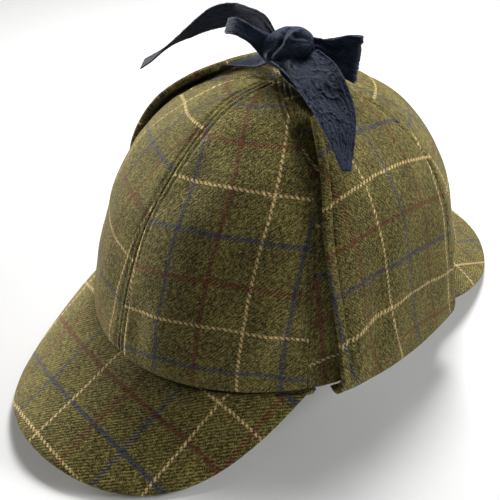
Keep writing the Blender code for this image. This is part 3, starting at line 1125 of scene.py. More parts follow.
@dataclass
class StitchRow:
    """Stitches set along lines, by a Geometry Nodes tree."""

    name: str
    lines: list[Array]
    spacing: float = 0.0036
    length: float = 0.0026
    thickness: float = 0.00042
    segments: int = 8
    rings: int = 6

    def tree(self, material: bpy.types.Material) -> bpy.types.NodeTree:
        """The tree that turns edges into stitches.

        Args:
            material: the thread's finish.

        Returns:
            The tree.
        """
        tree = bpy.data.node_groups.new("stitches_along_line", "GeometryNodeTree")
        face = tree.interface
        face.new_socket("Geometry", in_out="INPUT", socket_type="NodeSocketGeometry")
        for title in ("Spacing", "Length", "Thickness"):
            face.new_socket(title, in_out="INPUT", socket_type="NodeSocketFloat")
        face.new_socket("Geometry", in_out="OUTPUT", socket_type="NodeSocketGeometry")

        def add(
            kind: str, settings: dict[str, object] | None = None, values: dict[str, object] | None = None
        ) -> bpy.types.Node:
            """Adds a node.

            Args:
                kind: the node's type.
                settings: its own settings, or nothing.
                values: the values of its inputs, or nothing.

            Returns:
                The node.
            """
            node = tree.nodes.new(kind)
            for key, value in (settings or {}).items():
                setattr(node, key, value)
            for key, value in (values or {}).items():
                node.inputs[key].default_value = value
            return node

        start, end = add("NodeGroupInput"), add("NodeGroupOutput")
        curve = add("GeometryNodeMeshToCurve")
        spread = add("GeometryNodeResampleCurve", {"mode": "LENGTH"})
        points = add("GeometryNodeCurveToPoints", {"mode": "EVALUATED"})
        ball = {"Segments": self.segments, "Rings": self.rings, "Radius": 0.5}
        stitch = add("GeometryNodeMeshUVSphere", values=ball)
        size = add("ShaderNodeCombineXYZ")
        place = add("GeometryNodeInstanceOnPoints")
        real = add("GeometryNodeRealizeInstances")
        dress = add("GeometryNodeSetMaterial", values={"Material": material})
        for source, target in (
            (start.outputs["Geometry"], curve.inputs[0]),
            (curve.outputs[0], spread.inputs["Curve"]),
            (start.outputs["Spacing"], spread.inputs["Length"]),
            (spread.outputs[0], points.inputs["Curve"]),
            (points.outputs["Points"], place.inputs["Points"]),
            (points.outputs["Rotation"], place.inputs["Rotation"]),
            (stitch.outputs["Mesh"], place.inputs["Instance"]),
            (start.outputs["Thickness"], size.inputs[0]),
            (start.outputs["Thickness"], size.inputs[1]),
            (start.outputs["Length"], size.inputs[2]),
            (size.outputs[0], place.inputs["Scale"]),
            (place.outputs[0], real.inputs[0]),
            (real.outputs[0], dress.inputs["Geometry"]),
            (dress.outputs[0], end.inputs["Geometry"]),
        ):
            tree.links.new(source, target)
        return tree

    def build(self, wardrobe: Wardrobe) -> None:
        """Makes the stitches as one plain mesh.

        Args:
            wardrobe: the hat's finishes.
        """
        points, edges = [], []
        for line in self.lines:
            edges += [(len(points) + i, len(points) + i + 1) for i in range(len(line) - 1)]
            points += HAT_FRAME.to_world(line).tolist()
        mesh = bpy.data.meshes.new(self.name + "_lines")
        mesh.from_pydata(points, edges, [])
        guide = link_object(self.name + "_lines", mesh)
        modifier = guide.modifiers.new("stitches", "NODES")
        modifier.node_group = self.tree(wardrobe.thread)
        sizes = {"Spacing": self.spacing, "Length": self.length, "Thickness": self.thickness}
        for item in modifier.node_group.interface.items_tree:
            if item.in_out == "INPUT" and item.name in sizes:
                modifier[item.identifier] = sizes[item.name]
        graph = bpy.context.evaluated_depsgraph_get()
        plain = bpy.data.meshes.new_from_object(guide.evaluated_get(graph))
        bpy.data.objects.remove(guide, do_unlink=True)
        plain.shade_smooth()
        hand_over(link_object(self.name, plain), "tweed")


# ---------------------------------------------------------------- peaks


FRONT_CHECK = CheckLay((6.92, 0, 50.7, -134.0, 0), (1.0, 48.516, 0, 65.0, -12.0))
REAR_CHECK = CheckLay((3.142857, 0, -47.619048, 0, 0), (-2.497143, 57.142857, 0, 0, 0))


@dataclass
class Peak:
    """A stiff bowed peak between the hem and a rounded outline."""

    name: str
    # -1 for the front and 1 for the rear
    facing: int
    end_angle: float
    reach: float
    slope: float
    camber: float
    side_power: float
    tip_power: float
    half_width: float
    half_length: float
    check: CheckLay
    crown: Crown
    thickness: float = 0.0032
    rounding: float = 0.0021
    # how far inside the hem the peak starts, and its two ends finish
    root_inset: float = 0.0070
    end_inset: float = 0.0012
    drop: float = 0.0010
    camber_width: float = 0.080
    camber_reach: float = 0.050
    # unevenness of the cloth: lengths across and along, and height
    lumps: tuple[float, ...] = (0.028, 0.024, 0.0006)
    seed: int = 5
    softness: float = 0.4 * MILLIMETRE
    rows: int = 56
    columns: int = 150

    def grid(self) -> Array:
        """The points of the peak's upper side.

        Returns:
            The points, in the rim frame.
        """
        across = np.linspace(-1, 1, self.columns)
        across = ((across + np.sin(math.pi / 2 * across)) / 2)[None, :] * -self.facing
        out = crowd(self.rows)[:, None]
        end = math.radians(self.end_angle)
        root_x = (self.half_width - self.root_inset) * np.sin(end * across)
        root_y = (self.half_length - self.root_inset) * np.cos(end * across)
        end_x = (self.half_width - self.end_inset) * math.sin(end)
        end_y = (self.half_length - self.end_inset) * math.cos(end)
        tip_y = self.half_length + self.reach * math.cos(math.radians(self.slope))
        turn = math.pi / 2 * (1 - across)
        edge_x = np.copysign(end_x * np.abs(np.cos(turn)) ** (2 / self.side_power), across)
        edge_y = end_y + (tip_y - end_y) * np.abs(np.sin(turn)) ** (2 / self.tip_power)
        x = root_x + (edge_x - root_x) * out
        y = root_y + (edge_y - root_y) * out
        spread = np.hypot(x / self.half_width, y / self.half_length)
        steepness = np.hypot(x / self.half_width**2, y / self.half_length**2) / spread
        distance = np.maximum((spread - 1) / steepness, 0)
        from_middle = np.abs(self.end_angle * across)
        arch = self.crown.hem_rise(from_middle if self.facing < 0 else 180 - from_middle) * (1 - out)
        fall = math.tan(math.radians(self.slope)) * distance
        bow = self.camber * (x / self.camber_width) ** 2 * distance / self.camber_reach
        points = np.stack([x, self.facing * y, arch - self.drop - fall - bow], axis=-1)
        return points[:, ::-1]

    def settle(self, points: Array) -> Array:
        """Keeps the cloth on the ground where it rests, softly.

        Args:
            points: the peak's points, in the world.

        Returns:
            The points, none of them under the ground.
        """
        settled = points.copy()
        settled[:, 2] = (points[:, 2] + np.sqrt(points[:, 2] ** 2 + self.softness**2)) / 2
        return settled

    def build(self, wardrobe: Wardrobe) -> None:
        """Makes the peak.

        Args:
            wardrobe: the hat's finishes.
        """
        grid = self.grid()
        if np.mean(grid_normals(grid)[..., 2]) < 0:
            grid = grid[:, ::-1]
        x, y = grid[..., 0], grid[..., 1]
        across, along, height = self.lumps
        lumps = Ripple(self.seed + self.facing).at(x / across, y / along) * height
        middle = raised(grid, lumps - self.thickness / 2)
        sheet = Sheet(self.name, middle, self.check.place(x, y), self.thickness, self.rounding)
        hand_over(sheet.build(wardrobe.taut_tweed, self.settle), "tweed", self.name)


# ---------------------------------------------------------------- ear flaps


class CrownSurface:
    """The whole outside of the crown, for laying cloth and ribbon on it."""

    # how far off to look for the crown, then the mesh's step round it in degrees, and its rows
    REACH = 0.06
    STEP = 3.0
    ROWS = 61

    def __init__(self, crown: Crown) -> None:
        """Makes a fine mesh of the crown's outside.

        Args:
            crown: the crown.
        """
        angles, heights = np.arange(0, 360, self.STEP), np.linspace(0, 1, self.ROWS)
        points = crown.point(angles[None, :], heights[:, None])
        quads = Sheet.quads(ring_ids(*points.shape[:2]), False)
        self.tree = BVHTree.FromPolygons(points.reshape(-1, 3).tolist(), quads.tolist())

    def over(self, point: Vector, toward: Vector, lift: float) -> Vector:
        """The point moved along toward on to the crown, then lifted off it.

        Args:
            point: where to start.
            toward: the direction to move in.
            lift: how far to stand off the crown.

        Returns:
            The new point.
        """
        hit, normal, _, _ = self.tree.ray_cast(point - toward * self.REACH, toward)
        if normal.dot(toward) > 0:
            normal.negate()
        return hit + normal * lift


@dataclass
class EarFlap:
    """The wearer's left ear flap, folded up from the hem over the crown, and its mirror image."""

    crown: Crown
    surface: CrownSurface
    # along the cloth from the hem, the half-widths to front and rear, and the middle's height
    # above the crown in the middle and at the edges
    sections: tuple = (
        (0.006, 0.0402, 0.0446, 0.0028, 0.0054),
        (0.030, 0.0404, 0.0402, 0.0030, 0.0056),
        (0.060, 0.0407, 0.0378, 0.0032, 0.0050),
        (0.080, 0.0380, 0.0368, 0.0034, 0.0048),
        (0.095, 0.0333, 0.0345, 0.0036, 0.0048),
        (0.110, 0.0265, 0.0305, 0.0038, 0.0048),
        (0.124, 0.0195, 0.0260, 0.0040, 0.0048),
        (0.129, 0.0168, 0.0240, 0.0042, 0.0048),
        (0.133, 0.0145, 0.0215, 0.0043, 0.0048),
    )
    # out from the hem, up from it, and how much further out the corners lie
    folds: tuple = ((-0.0010, -0.0024, 0.0000), (0.0012, -0.0023, 0.0008), (0.0026, -0.0002, 0.0024))
    fold_front: float = 0.0422
    fold_rear: float = 0.0425
    fold_rows: int = 21
    flare_power: float = 2.5
    thickness: float = 0.0030
    rounding: float = 0.0017
    seed: int = 41
    # the upright folds' heights, their places from front to rear, and their widths
    ridges: tuple = (
        (0.0010, -0.0330, 0.0060),
        (-0.0011, -0.0205, 0.0060),
        (0.0006, -0.0080, 0.0070),
        (-0.0006, 0.0150, 0.0070),
        (0.0006, 0.0280, 0.0060),
    )
    # how far up they take to rise, where they end, and how far they take to fade
    ridge_reach: tuple[float, ...] = (0.012, 0.095, 0.05)
    # two kinds of unevenness: lengths across and up, height, and shift across in the noise
    upright_waves: tuple[float, ...] = (0.017, 0.075, 0.0009, 0.0)
    lumps: tuple[float, ...] = (0.022, 0.020, 0.0006, 7.3)
    # how far from the sides and from the hem the unevenness is full
    uneven_from: tuple[float, float] = (0.010, 0.020)
    # the edge stitches' groove: depth, distance from the edge, width, and how far up it is full
    groove: tuple[float, ...] = (0.0006, 0.0046, 0.0010, 0.02)
    # the check: number of the line at the hem, lines in a metre up, bow, and where the fold ends
    up_lines: tuple[float, ...] = (-2.61, 47.6, 142.0, 0.0055)
    # the check: place of the first line, distance between lines, and their lean with its reach
    side_lines: tuple[float, ...] = (-0.0413, 0.0147, 0.012, 0.03, 0.004)
    # the droop of the lines across the left flap, in lines, then where it starts in front of the
    # middle, how far it takes to be full, and how far up it fades away
    left_droop: float = 0.75
    droop_shape: tuple[float, ...] = (0.002, 0.007, 0.035)
    right_shift: float = 0.011
    pattern: Pattern = Pattern(0.090, 0.145, "folded", 0.81)
    rough_columns: int = 29
    rough_rows: int = 33
    line_points: int = 400
    rows: int = 120
    row_crowding: float = 0.3
    columns: int = 96

    def fold_row(self, out: float, rise: float, flare: float) -> Array:
        """A row of the fold, where the flap comes out from under the hem and turns up.

        Args:
            out: how far out from the hem the row lies.
            rise: how far up from it.
            flare: how much further out its ends lie.

        Returns:
            The points, in the rim frame.
        """
        across = np.linspace(-1, 1, self.rough_columns)
        y = across * np.where(across > 0, self.fold_rear, self.fold_front)
        _, front, side, rear = self.crown.sections[0]
        length = np.where(across > 0, rear, front)
        angle = np.degrees(np.arccos(-y / length))
        hem = self.crown.point(angle, self.crown.hem_height(angle))
        outward = np.stack([hem[:, 0] / side**2, hem[:, 1] / length**2, 0 * y], axis=1)
        outward /= np.linalg.norm(outward, axis=1, keepdims=True)
        reach = out + flare * np.abs(across) ** self.flare_power
        return hem + outward * reach[:, None] + np.array([0, 0, rise])

    def flap_row(self, section: Array, line: Array, along: Array) -> Array:
        """A row of the flap where it lies on the crown.

        Args:
            section: the row's entry in the table of sections.
            line: points up the middle of the crown's side.
            along: how far along the cloth each of them lies.

        Returns:
            The points, in the rim frame.
        """
        distance, front, rear, lift, edge_lift = section
        k = min(max(int(np.searchsorted(along, distance)), 1), len(along) - 1)
        tangent = Vector(line[k] - line[k - 1]).normalized()
        inward = tangent.cross(Vector((0, 1, 0))).normalized()
        middle = Vector([np.interp(distance, along, line[:, axis]) for axis in range(3)])
        row = []
        for across in np.linspace(-1, 1, self.rough_columns):
            y = across * (rear if across > 0 else front)
            height = lift + (edge_lift - lift) * abs(across) ** self.flare_power
            row.append(self.surface.over(middle + Vector((0, y, 0)), inward, height))
        return np.array(row)

    def grid(self) -> Array:
        """The points through the middle of the flap's wall.

        Returns:
            The points, in the rim frame.
        """
        line = self.crown.point(90.0, np.linspace(0, 1, self.line_points))
        along = np.concatenate([[0], np.cumsum(np.linalg.norm(np.diff(line, axis=0), axis=1))])
        rows = [self.fold_row(*fold) for fold in self.folds]
        folds = len(rows)
        for section in spread_over(np.array(self.sections), self.rough_rows):
            rows.append(self.flap_row(section, line, along))
        last = len(rows) - 1
        fold_places = np.linspace(0, folds, self.fold_rows + 1)[:-1]
        flap_places = folds + crowd(self.rows - self.fold_rows, self.row_crowding) * (last - folds)
        places = np.concatenate([fold_places, flap_places])
        fine = read_table(np.array(rows), places / last * last)
        across = crowd(self.columns) * (self.rough_columns - 1)
        return read_table(fine.swapaxes(0, 1), across).swapaxes(0, 1)

    def waves(self, grid: Array) -> Array:
        """Gentle upright waves in the doubled cloth, and the quilting of its edge stitches.

        Args:
            grid: the flap's plain points.

        Returns:
            The points, moved.
        """
        ripple = Ripple(self.seed)
        u, v = cloth_lengths(grid)
        from_edge = side_distance(u)
        from_side, from_hem = self.uneven_from
        inside = unit(from_edge / from_side) * unit(v / from_hem)
        ridges = sum(height * hump(grid[..., 1] - at, width) for height, at, width in self.ridges)
        full, end, fade = self.ridge_reach
        rise = unit(v / full) * unit((end - v) / fade)
        across, up, height, shift = self.upright_waves
        upright = (ripple.at(u / across + shift, v / up) * height + ridges * rise) * inside
        across, up, height, shift = self.lumps
        lumps = ripple.at(u / across + shift, v / up) * height * inside
        depth, inset, width, full = self.groove
        groove = depth * hump(from_edge - inset, width) * unit(v / full)
        return raised(grid, upright + lumps - groove)

    def cloth_map(self, grid: Array, droop: float) -> Array:
        """Where the flap's points lie on the cloth.

        Args:
            grid: the flap's points.
            droop: how far the lines across it hang at the fold's front, in lines.

        Returns:
            The places on the cloth, whose check runs up and across the flap.
        """
        y = grid[..., 1]
        first, pitch, bow, fold = self.up_lines
        v = lengths_along(grid, 0)[:, [grid.shape[1] // 2]] - fold
        start, full, fade = self.droop_shape
        droop = droop * (1 - hump(np.minimum(y + start, 0), full)) * unit(1 - v / fade)
        up_line = first + pitch * v + bow * y**2 + droop
        first, pitch, lean, reach, lean_back = self.side_lines
        side_line = -(y - (lean * np.exp(-np.maximum(v, 0) / reach) - lean_back) - first) / pitch
        return np.stack([up_line, side_line], axis=-1) * Tweed.check_pitch

    def build(self, wardrobe: Wardrobe) -> None:
        """Makes both flaps.

        Args:
            wardrobe: the hat's finishes.
        """
        grid = self.grid()
        waved = self.waves(grid)
        mirrored = waved[:, ::-1] * np.array([-1, 1, 1])
        left_cloth = self.cloth_map(grid, self.left_droop)
        right_cloth = self.cloth_map(grid, 0.0)[:, ::-1] + self.right_shift
        for side, points, cloth in (("left", waved, left_cloth), ("right", mirrored, right_cloth)):
            sheet = Sheet("flap_" + side, points, cloth, self.thickness, self.rounding)
            piece = sheet.build(wardrobe.tweed)
            hand_over(piece, "tweed", "ear_flap_" + side)
            self.pattern.declare(piece, "panel_side_" + side)


# ---------------------------------------------------------------- ribbon


@dataclass
class RibbonPiece:
    """A length of ribbon between two edges that a table gives, crinkled and creased."""

    name: str
    node: str
    sections: Array
    pattern: Pattern
    seed: int
    # height and width of the long creases, height of the gathers, and share of the crepe's cracks
    creases: float
    crease_width: float
    gathers: float
    crackle: float
    rests_on: str = "knot"
    folds: float = 3.0
    # how far the gathers reach and how they fade, their start in turns, and their length of drift
    gather_reach: float = 0.030
    gather_power: float = 1.3
    gather_start: float = 0.2
    gather_drift: float = 0.06
    crease_length: float = 0.030
    # depth, lengths across and along, shift in the noise, and sharpness of both kinds of cracks
    wide_cracks: tuple[float, ...] = (-0.00060, 0.0042, 0.0100, 4.7, 0.07)
    narrow_cracks: tuple[float, ...] = (-0.00045, 0.0021, 0.0045, 9.1, 0.09)
    # lengths across and along, and height of the crepe's grain
    grain: tuple[float, ...] = (0.0012, 0.0026, 0.00014)
    width: float = 0.025
    # where the ribbon is narrower than this its relief is lower, down to the least share
    full_width: float = 0.012
    least_relief: float = 0.35
    second_seed: int = 100
    thickness: float = 0.0009
    rounding: float = 0.0006
    rows: int = 230
    columns: int = 60
    column_crowding: float = 0.3

    def grid(self) -> Array:
        """The points through the middle of the ribbon.

        Returns:
            The points, in the rim frame.
        """
        edges = spread_over(self.sections, self.rows)
        across = crowd(self.columns, self.column_crowding)[None, :, None]
        return edges[:, None, :3] * (1 - across) + edges[:, None, 3:] * across

    def crinkle(self, grid: Array) -> Array:
        """Adds the gathers at the knot, the creases, and the crepe's cracks and grain.

        Args:
            grid: the ribbon's plain points.

        Returns:
            The points, moved.
        """
        ripple, second = Ripple(self.seed), Ripple(self.seed + self.second_seed)
        u, v = cloth_lengths(grid)
        across = np.linspace(0, 1, self.columns)[None, :] * self.width
        creases = ripple.at(across / self.crease_width, v / self.crease_length) * self.creases
        depth, wide, long, shift, sharp = self.wide_cracks
        cracks = depth * hump(second.at(across / wide, v / long + shift), sharp)
        depth, wide, long, shift, sharp = self.narrow_cracks
        cracks = cracks + depth * hump(ripple.at(across / wide + shift, v / long), sharp)
        wide, long, height = self.grain
        grain = second.at(across / wide, v / long) * height
        turns = self.folds * across / self.width + self.gather_start + v / self.gather_drift
        fade = unit(1 - v / self.gather_reach) ** self.gather_power
        gather = np.cos(FULL_TURN * turns) * self.gathers * fade
        relief = np.clip(u[:, -1:] / self.full_width, self.least_relief, 1)
        return raised(grid, (creases + cracks * self.crackle + grain) * relief + gather)

    def build(self, wardrobe: Wardrobe) -> None:
        """Makes the piece.

        Args:
            wardrobe: the hat's finishes.
        """
        plain = self.grid()
        cloth = np.stack(cloth_lengths(plain), axis=-1)
        sheet = Sheet(self.name, self.crinkle(plain), cloth, self.thickness, self.rounding)
        piece = sheet.build(wardrobe.crepe)
        hand_over(piece, "crepe_ribbon", self.node)
        self.pattern.declare(piece, self.rests_on)


# each row of these four holds the ribbon's two edges at one place along it
FRONT_TAIL = millimetres(
    (1, -14, 129, 22, -3, 138),
    (13.5, -18, 130, 36, -6, 136.5),
    (25.5, -21, 128, 44, -8, 132.5),
    (35, -23.5, 124.5, 52, -10, 125),
    (44, -25.5, 120.5, 57, -13, 119.5),
    (51.5, -27, 116.5, 61, -17, 114),
    (58.5, -28.5, 112, 64.5, -21.5, 108),
    (67, -30.5, 105, 69, -27, 104.5),
)
LEFT_TAIL = millimetres(
    (-11.5, -2, 129, -6, -0.5, 134.5),
    (-25, 0, 133, -15.5, -1, 142.5),
    (-36.5, 0, 132.5, -24.5, -3, 144.5),
    (-45.5, -2.5, 129, -35.5, -4, 144.5),
    (-55, -4.5, 125, -47, -8.5, 140.5),
    (-63, -9.5, 120.5, -56.5, -12, 132),
    (-70.5, -14.5, 116, -67, -16, 121),
    (-75, -19.5, 111.5, -76, -19.5, 112.5),
    (-82, -23.5, 104, -84.5, -22, 106.5),
    (-89, -26, 98.5, -89, -22.5, 103.5),
)
LEFT_LOOP = millimetres(
    (-2, -14, 128.5, -1, -10, 138),
    (-6.5, -19, 136, -8, -16.5, 143.5),
    (-11.5, -22.5, 139, -15, -19, 146),
    (-18, -23.5, 138.5, -20, -19.5, 144.5),
    (-21.5, -21, 137.5, -23.3, -17, 143),
    (-20.5, -18.5, 136.5, -22.3, -14.5, 142.5),
    (-16, -17.5, 138, -18.5, -13.5, 143),
    (-10, -16, 134.5, -11.5, -12, 141),
    (-3, -8, 130, -4, -6, 137),
)
RIGHT_LOOP = millimetres(
    (11.5, -6, 130, 8.5, -4, 140.5),
    (22, -3.5, 130.5, 17.5, -1.5, 142),
    (28.5, 0.5, 127.5, 24, 2.5, 142),
    (32.8, 5.5, 125, 30.5, 6, 145),
    (35, 7.5, 123.7, 35.6, 8.8, 145.5),
    (34.6, 9.5, 122.8, 35.1, 11.2, 145),
    (31.5, 11.2, 122.4, 31.8, 12.8, 144),
    (26.5, 12.5, 122, 24, 13.5, 141.5),
    (19, 9.5, 129, 16.5, 10.5, 138.5),
    (7, 0, 133, 6, 0, 137),
)
# out from the crown's axis, the two edges along Y, and their heights above the crown
TIES = millimetres(
    (34.4, -11.5, 18, 4.2, 4.6),
    (30, -11, 16.8, 4, 6.4),
    (21.5, -11, 12, 3.6, 8),
    (14, -11, 6, 3.6, 9),
    (8, -11, 0, 5, 10.5),
    (3, -10, -4, 8, 12),
)
# each fold's height, its width, and the line that it follows over the knot
KNOT_FOLDS = (
    (0.0015, 0.0017, millimetres((2, -15.2, 131), (5.5, -15.8, 133.9), (8, -15.5, 135.9),
                                 (11.5, -14.3, 138.8), (12.5, -12, 142.3), (14.1, -7.1, 144.5))),
    (-0.0026, 0.0012, millimetres((4.1, -15.6, 133), (6.6, -15.7, 135.8), (8.6, -15, 138.8),
                                  (8.4, -13.1, 141.9), (7.3, -10.7, 143.9), (6, -6, 145))),
    (0.0010, 0.0030, millimetres((-2.1, -12.5, 137.5), (-2.1, -14.4, 132), (-3, -13, 128.2))),
    (-0.0016, 0.0011, millimetres((14.3, -10.2, 143), (17.3, -6.9, 142.5), (18.5, -3.1, 139.7),
                                  (19.6, 0.9, 136.1))),
    (0.0012, 0.0020, millimetres((14.3, -13.1, 138.4), (18.1, -9, 139.7), (18.8, -3.2, 137.4),
                                 (21.3, 1, 134.2))),
    (-0.0020, 0.0014, millimetres((9, -15.3, 131.5), (12.4, -14.1, 134), (16.3, -11.7, 135.8),
                                  (17.7, -4.9, 132.8), (21.2, -0.1, 130.7))),
)


@dataclass
class Knot:
    """The knot: ribbon wrapped over itself, with the folds that its turns make."""

    centre: tuple[float, float, float] = (0.0058, -0.0056, 0.1345)
    radii: tuple[float, float, float] = (0.0153, 0.0096, 0.0096)
    lean: float = math.radians(25)
    seed: int = 77
    fullness: float = 0.85
    # how far round the wraps run, as the length of ribbon in a radian
    wrap: float = 0.0098
    # cells in a radius along the knot, shift in the noise, share of the wrap's other direction,
    # lean, and distance from one to the next
    creases: tuple[float, ...] = (1.4, 5.0, 0.8, 0.004, 0.0034)
    cracks: tuple[float, ...] = (4.0, 1.5, -0.5, 0.003, 0.0012)
    crease_height: float = 0.0004
    crack_depth: float = 0.00022
    crack_sharpness: float = 0.10
    # the length of ribbon in a radius along the knot and in a radian round it, for the finish
    cloth_size: tuple[float, float] = (0.012, 0.008)
    end_gap: float = 0.02
    fold_points: int = 40
    rows: int = 150
    columns: int = 240

    def folded(self, points: Array, normals: Array) -> Array:
        """The knot's points with its folds raised and pressed in along their lines.

        Args:
            points: the knot's plain points.
            normals: the directions that they face.

        Returns:
            The points, moved.
        """
        relief = np.zeros(points.shape[:-1])
        for height, width, line in KNOT_FOLDS:
            corners = spread_over(line, self.fold_points)
            distance = np.linalg.norm(points[..., None, :] - corners, axis=-1).min(axis=-1)
            relief += height * hump(distance, width)
        return points + normals * relief[..., None]

    def crinkles(self, x: Array, around: Array) -> Array:
        """The height of the crepe's creases and cracks over the knot.

        Args:
            x: the place along the knot, -1 to 1.
            around: the angle round it.

        Returns:
            A height for each point.
        """
        ripple = Ripple(self.seed)
        first, second = np.cos(around) * self.wrap, np.sin(around) * self.wrap
        cells, shift, other, lean, apart = self.creases
        creases = ripple.at(x * cells + shift, (first + other * second + lean * x) / apart)
        cells, shift, other, lean, apart = self.cracks
        cracks = ripple.at(x * cells + shift, (second + other * first + lean * x) / apart)
        return creases * self.crease_height - self.crack_depth * hump(cracks, self.crack_sharpness)

    def build(self, wardrobe: Wardrobe) -> None:
        """Makes the knot as a closed mesh.

        Args:
            wardrobe: the hat's finishes.
        """
        around = np.linspace(0, FULL_TURN, self.columns + 1)[:-1][None, :]
        along = np.linspace(self.end_gap, math.pi - self.end_gap, self.rows)[:, None]
        x, ring = -np.cos(along) + 0 * around, np.sin(along) ** self.fullness
        radii = np.array(self.radii)
        local = np.stack([x, ring * np.cos(around), ring * np.sin(around)], axis=-1) * radii
        outward = local / radii**2
        outward /= np.linalg.norm(outward, axis=-1, keepdims=True)
        cos, sin = math.cos(-self.lean), math.sin(-self.lean)
        turn = np.array([[cos, 0, sin], [0, 1, 0], [-sin, 0, cos]]).T
        points, normals = local @ turn + np.array(self.centre), outward @ turn
        points = self.folded(points, normals) + normals * self.crinkles(x, around)[..., None]
        points = HAT_FRAME.to_world(points.reshape(-1, 3))
        count, ends = self.columns, len(points)
        ids = ring_ids(self.rows, count)
        faces = Sheet.quads(ids, True).tolist()
        points = np.concatenate([points, points[:count].mean(0)[None], points[-count:].mean(0)[None]])
        faces += [(ids[0, i], ids[0, i + 1], ends) for i in range(count)]
        faces += [(ids[-1, i + 1], ids[-1, i], ends + 1) for i in range(count)]
        cloth = (np.stack([x, around + 0 * x], axis=-1) * self.cloth_size).reshape(-1, 2)
        cloth = np.concatenate([cloth, cloth[:1], cloth[-1:]])
        piece = make_object("knot", points, np.array(faces, dtype=object), cloth, wardrobe.crepe)
        fix_facing(piece)
        hand_over(piece, "crepe_ribbon", "ribbon_knot")


def fix_facing(piece: bpy.types.Object) -> None:
    """Turns a closed mesh's faces over if they point inwards.

    Args:
        piece: the closed piece.
    """
    mesh = piece.data
    mesh.calc_loop_triangles()
    volume = 0.0
    for triangle in mesh.loop_triangles:
        a, b, c = (mesh.vertices[i].co for i in triangle.vertices)
        volume += a.dot(b.cross(c))
    if volume < 0:
        mesh.flip_normals()


@dataclass
class Bow:
    """The ribbon: two ties from the flaps' tips, the knot, two loops and two tails."""

    crown: Crown
    surface: CrownSurface
    # how much of the left tie's rear half lies flat, the rest being tucked under
    left_tuck: float = 0.5
    tie_pattern: Pattern = Pattern(0.030, 0.042, "laid", 0.66)
    tie_seed: int = 60

    def tie_sections(self, side: int) -> Array:
        """The edges of a tie, laid over the crown.

        Args:
            side: 1 for the wearer's left and -1 for the right.

        Returns:
            The table of both edges.
        """
        rows = []
        top = self.crown.sections[-1][0]
        tuck = self.left_tuck if side > 0 else 1
        for out, front, rear, front_lift, rear_lift in TIES:
            edges = []
            for y, lift in ((front, front_lift), (rear * tuck, rear_lift)):
                point = self.surface.over(Vector((out, y, top)), Vector((0, 0, -1)), 0.0)
                edges.append((side * point.x, point.y, point.z + lift))
            rows.append(np.concatenate(edges[::side]))
        return np.array(rows)

    def build(self, wardrobe: Wardrobe) -> None:
        """Makes the ribbon's pieces.

        Args:
            wardrobe: the hat's finishes.
        """
        for side, name in ((1, "left"), (-1, "right")):
            RibbonPiece(
                "tie_" + name, "ribbon_tie_" + name, self.tie_sections(side), self.tie_pattern,
                seed=self.tie_seed + side, creases=0.0005, crease_width=0.0070, gathers=0.0, crackle=0.4,
                rests_on="panel_side_" + name,
            ).build(wardrobe)
        Knot().build(wardrobe)
        loops_and_tails = (
            RibbonPiece(
                "loop_left", "bow_loop_left", LEFT_LOOP, Pattern(0.013, 0.056, "gathered", 0.9),
                seed=63, creases=0.0003, crease_width=0.0050, gathers=0.0, crackle=0.5,
            ),
            RibbonPiece(
                "loop_right", "bow_loop_right", RIGHT_LOOP, Pattern(0.025, 0.070, "folded", 0.68),
                seed=64, creases=0.0007, crease_width=0.0042, gathers=0.0011, crackle=0.8,
            ),
            RibbonPiece(
                "tail_front", "ribbon_tail_front", FRONT_TAIL, Pattern(0.028, 0.076, "draped", 0.65),
                seed=65, creases=0.0008, crease_width=0.0070, gathers=0.0005, crackle=0.65,
            ),
            RibbonPiece(
                "tail_left", "ribbon_tail_left", LEFT_TAIL, Pattern(0.019, 0.100, "draped", 0.65),
                seed=66, creases=0.0003, crease_width=0.0090, gathers=0.0007, crackle=0.3,
            ),
        )
        for piece in loops_and_tails:
            piece.build(wardrobe)


# ---------------------------------------------------------------- camera and studio


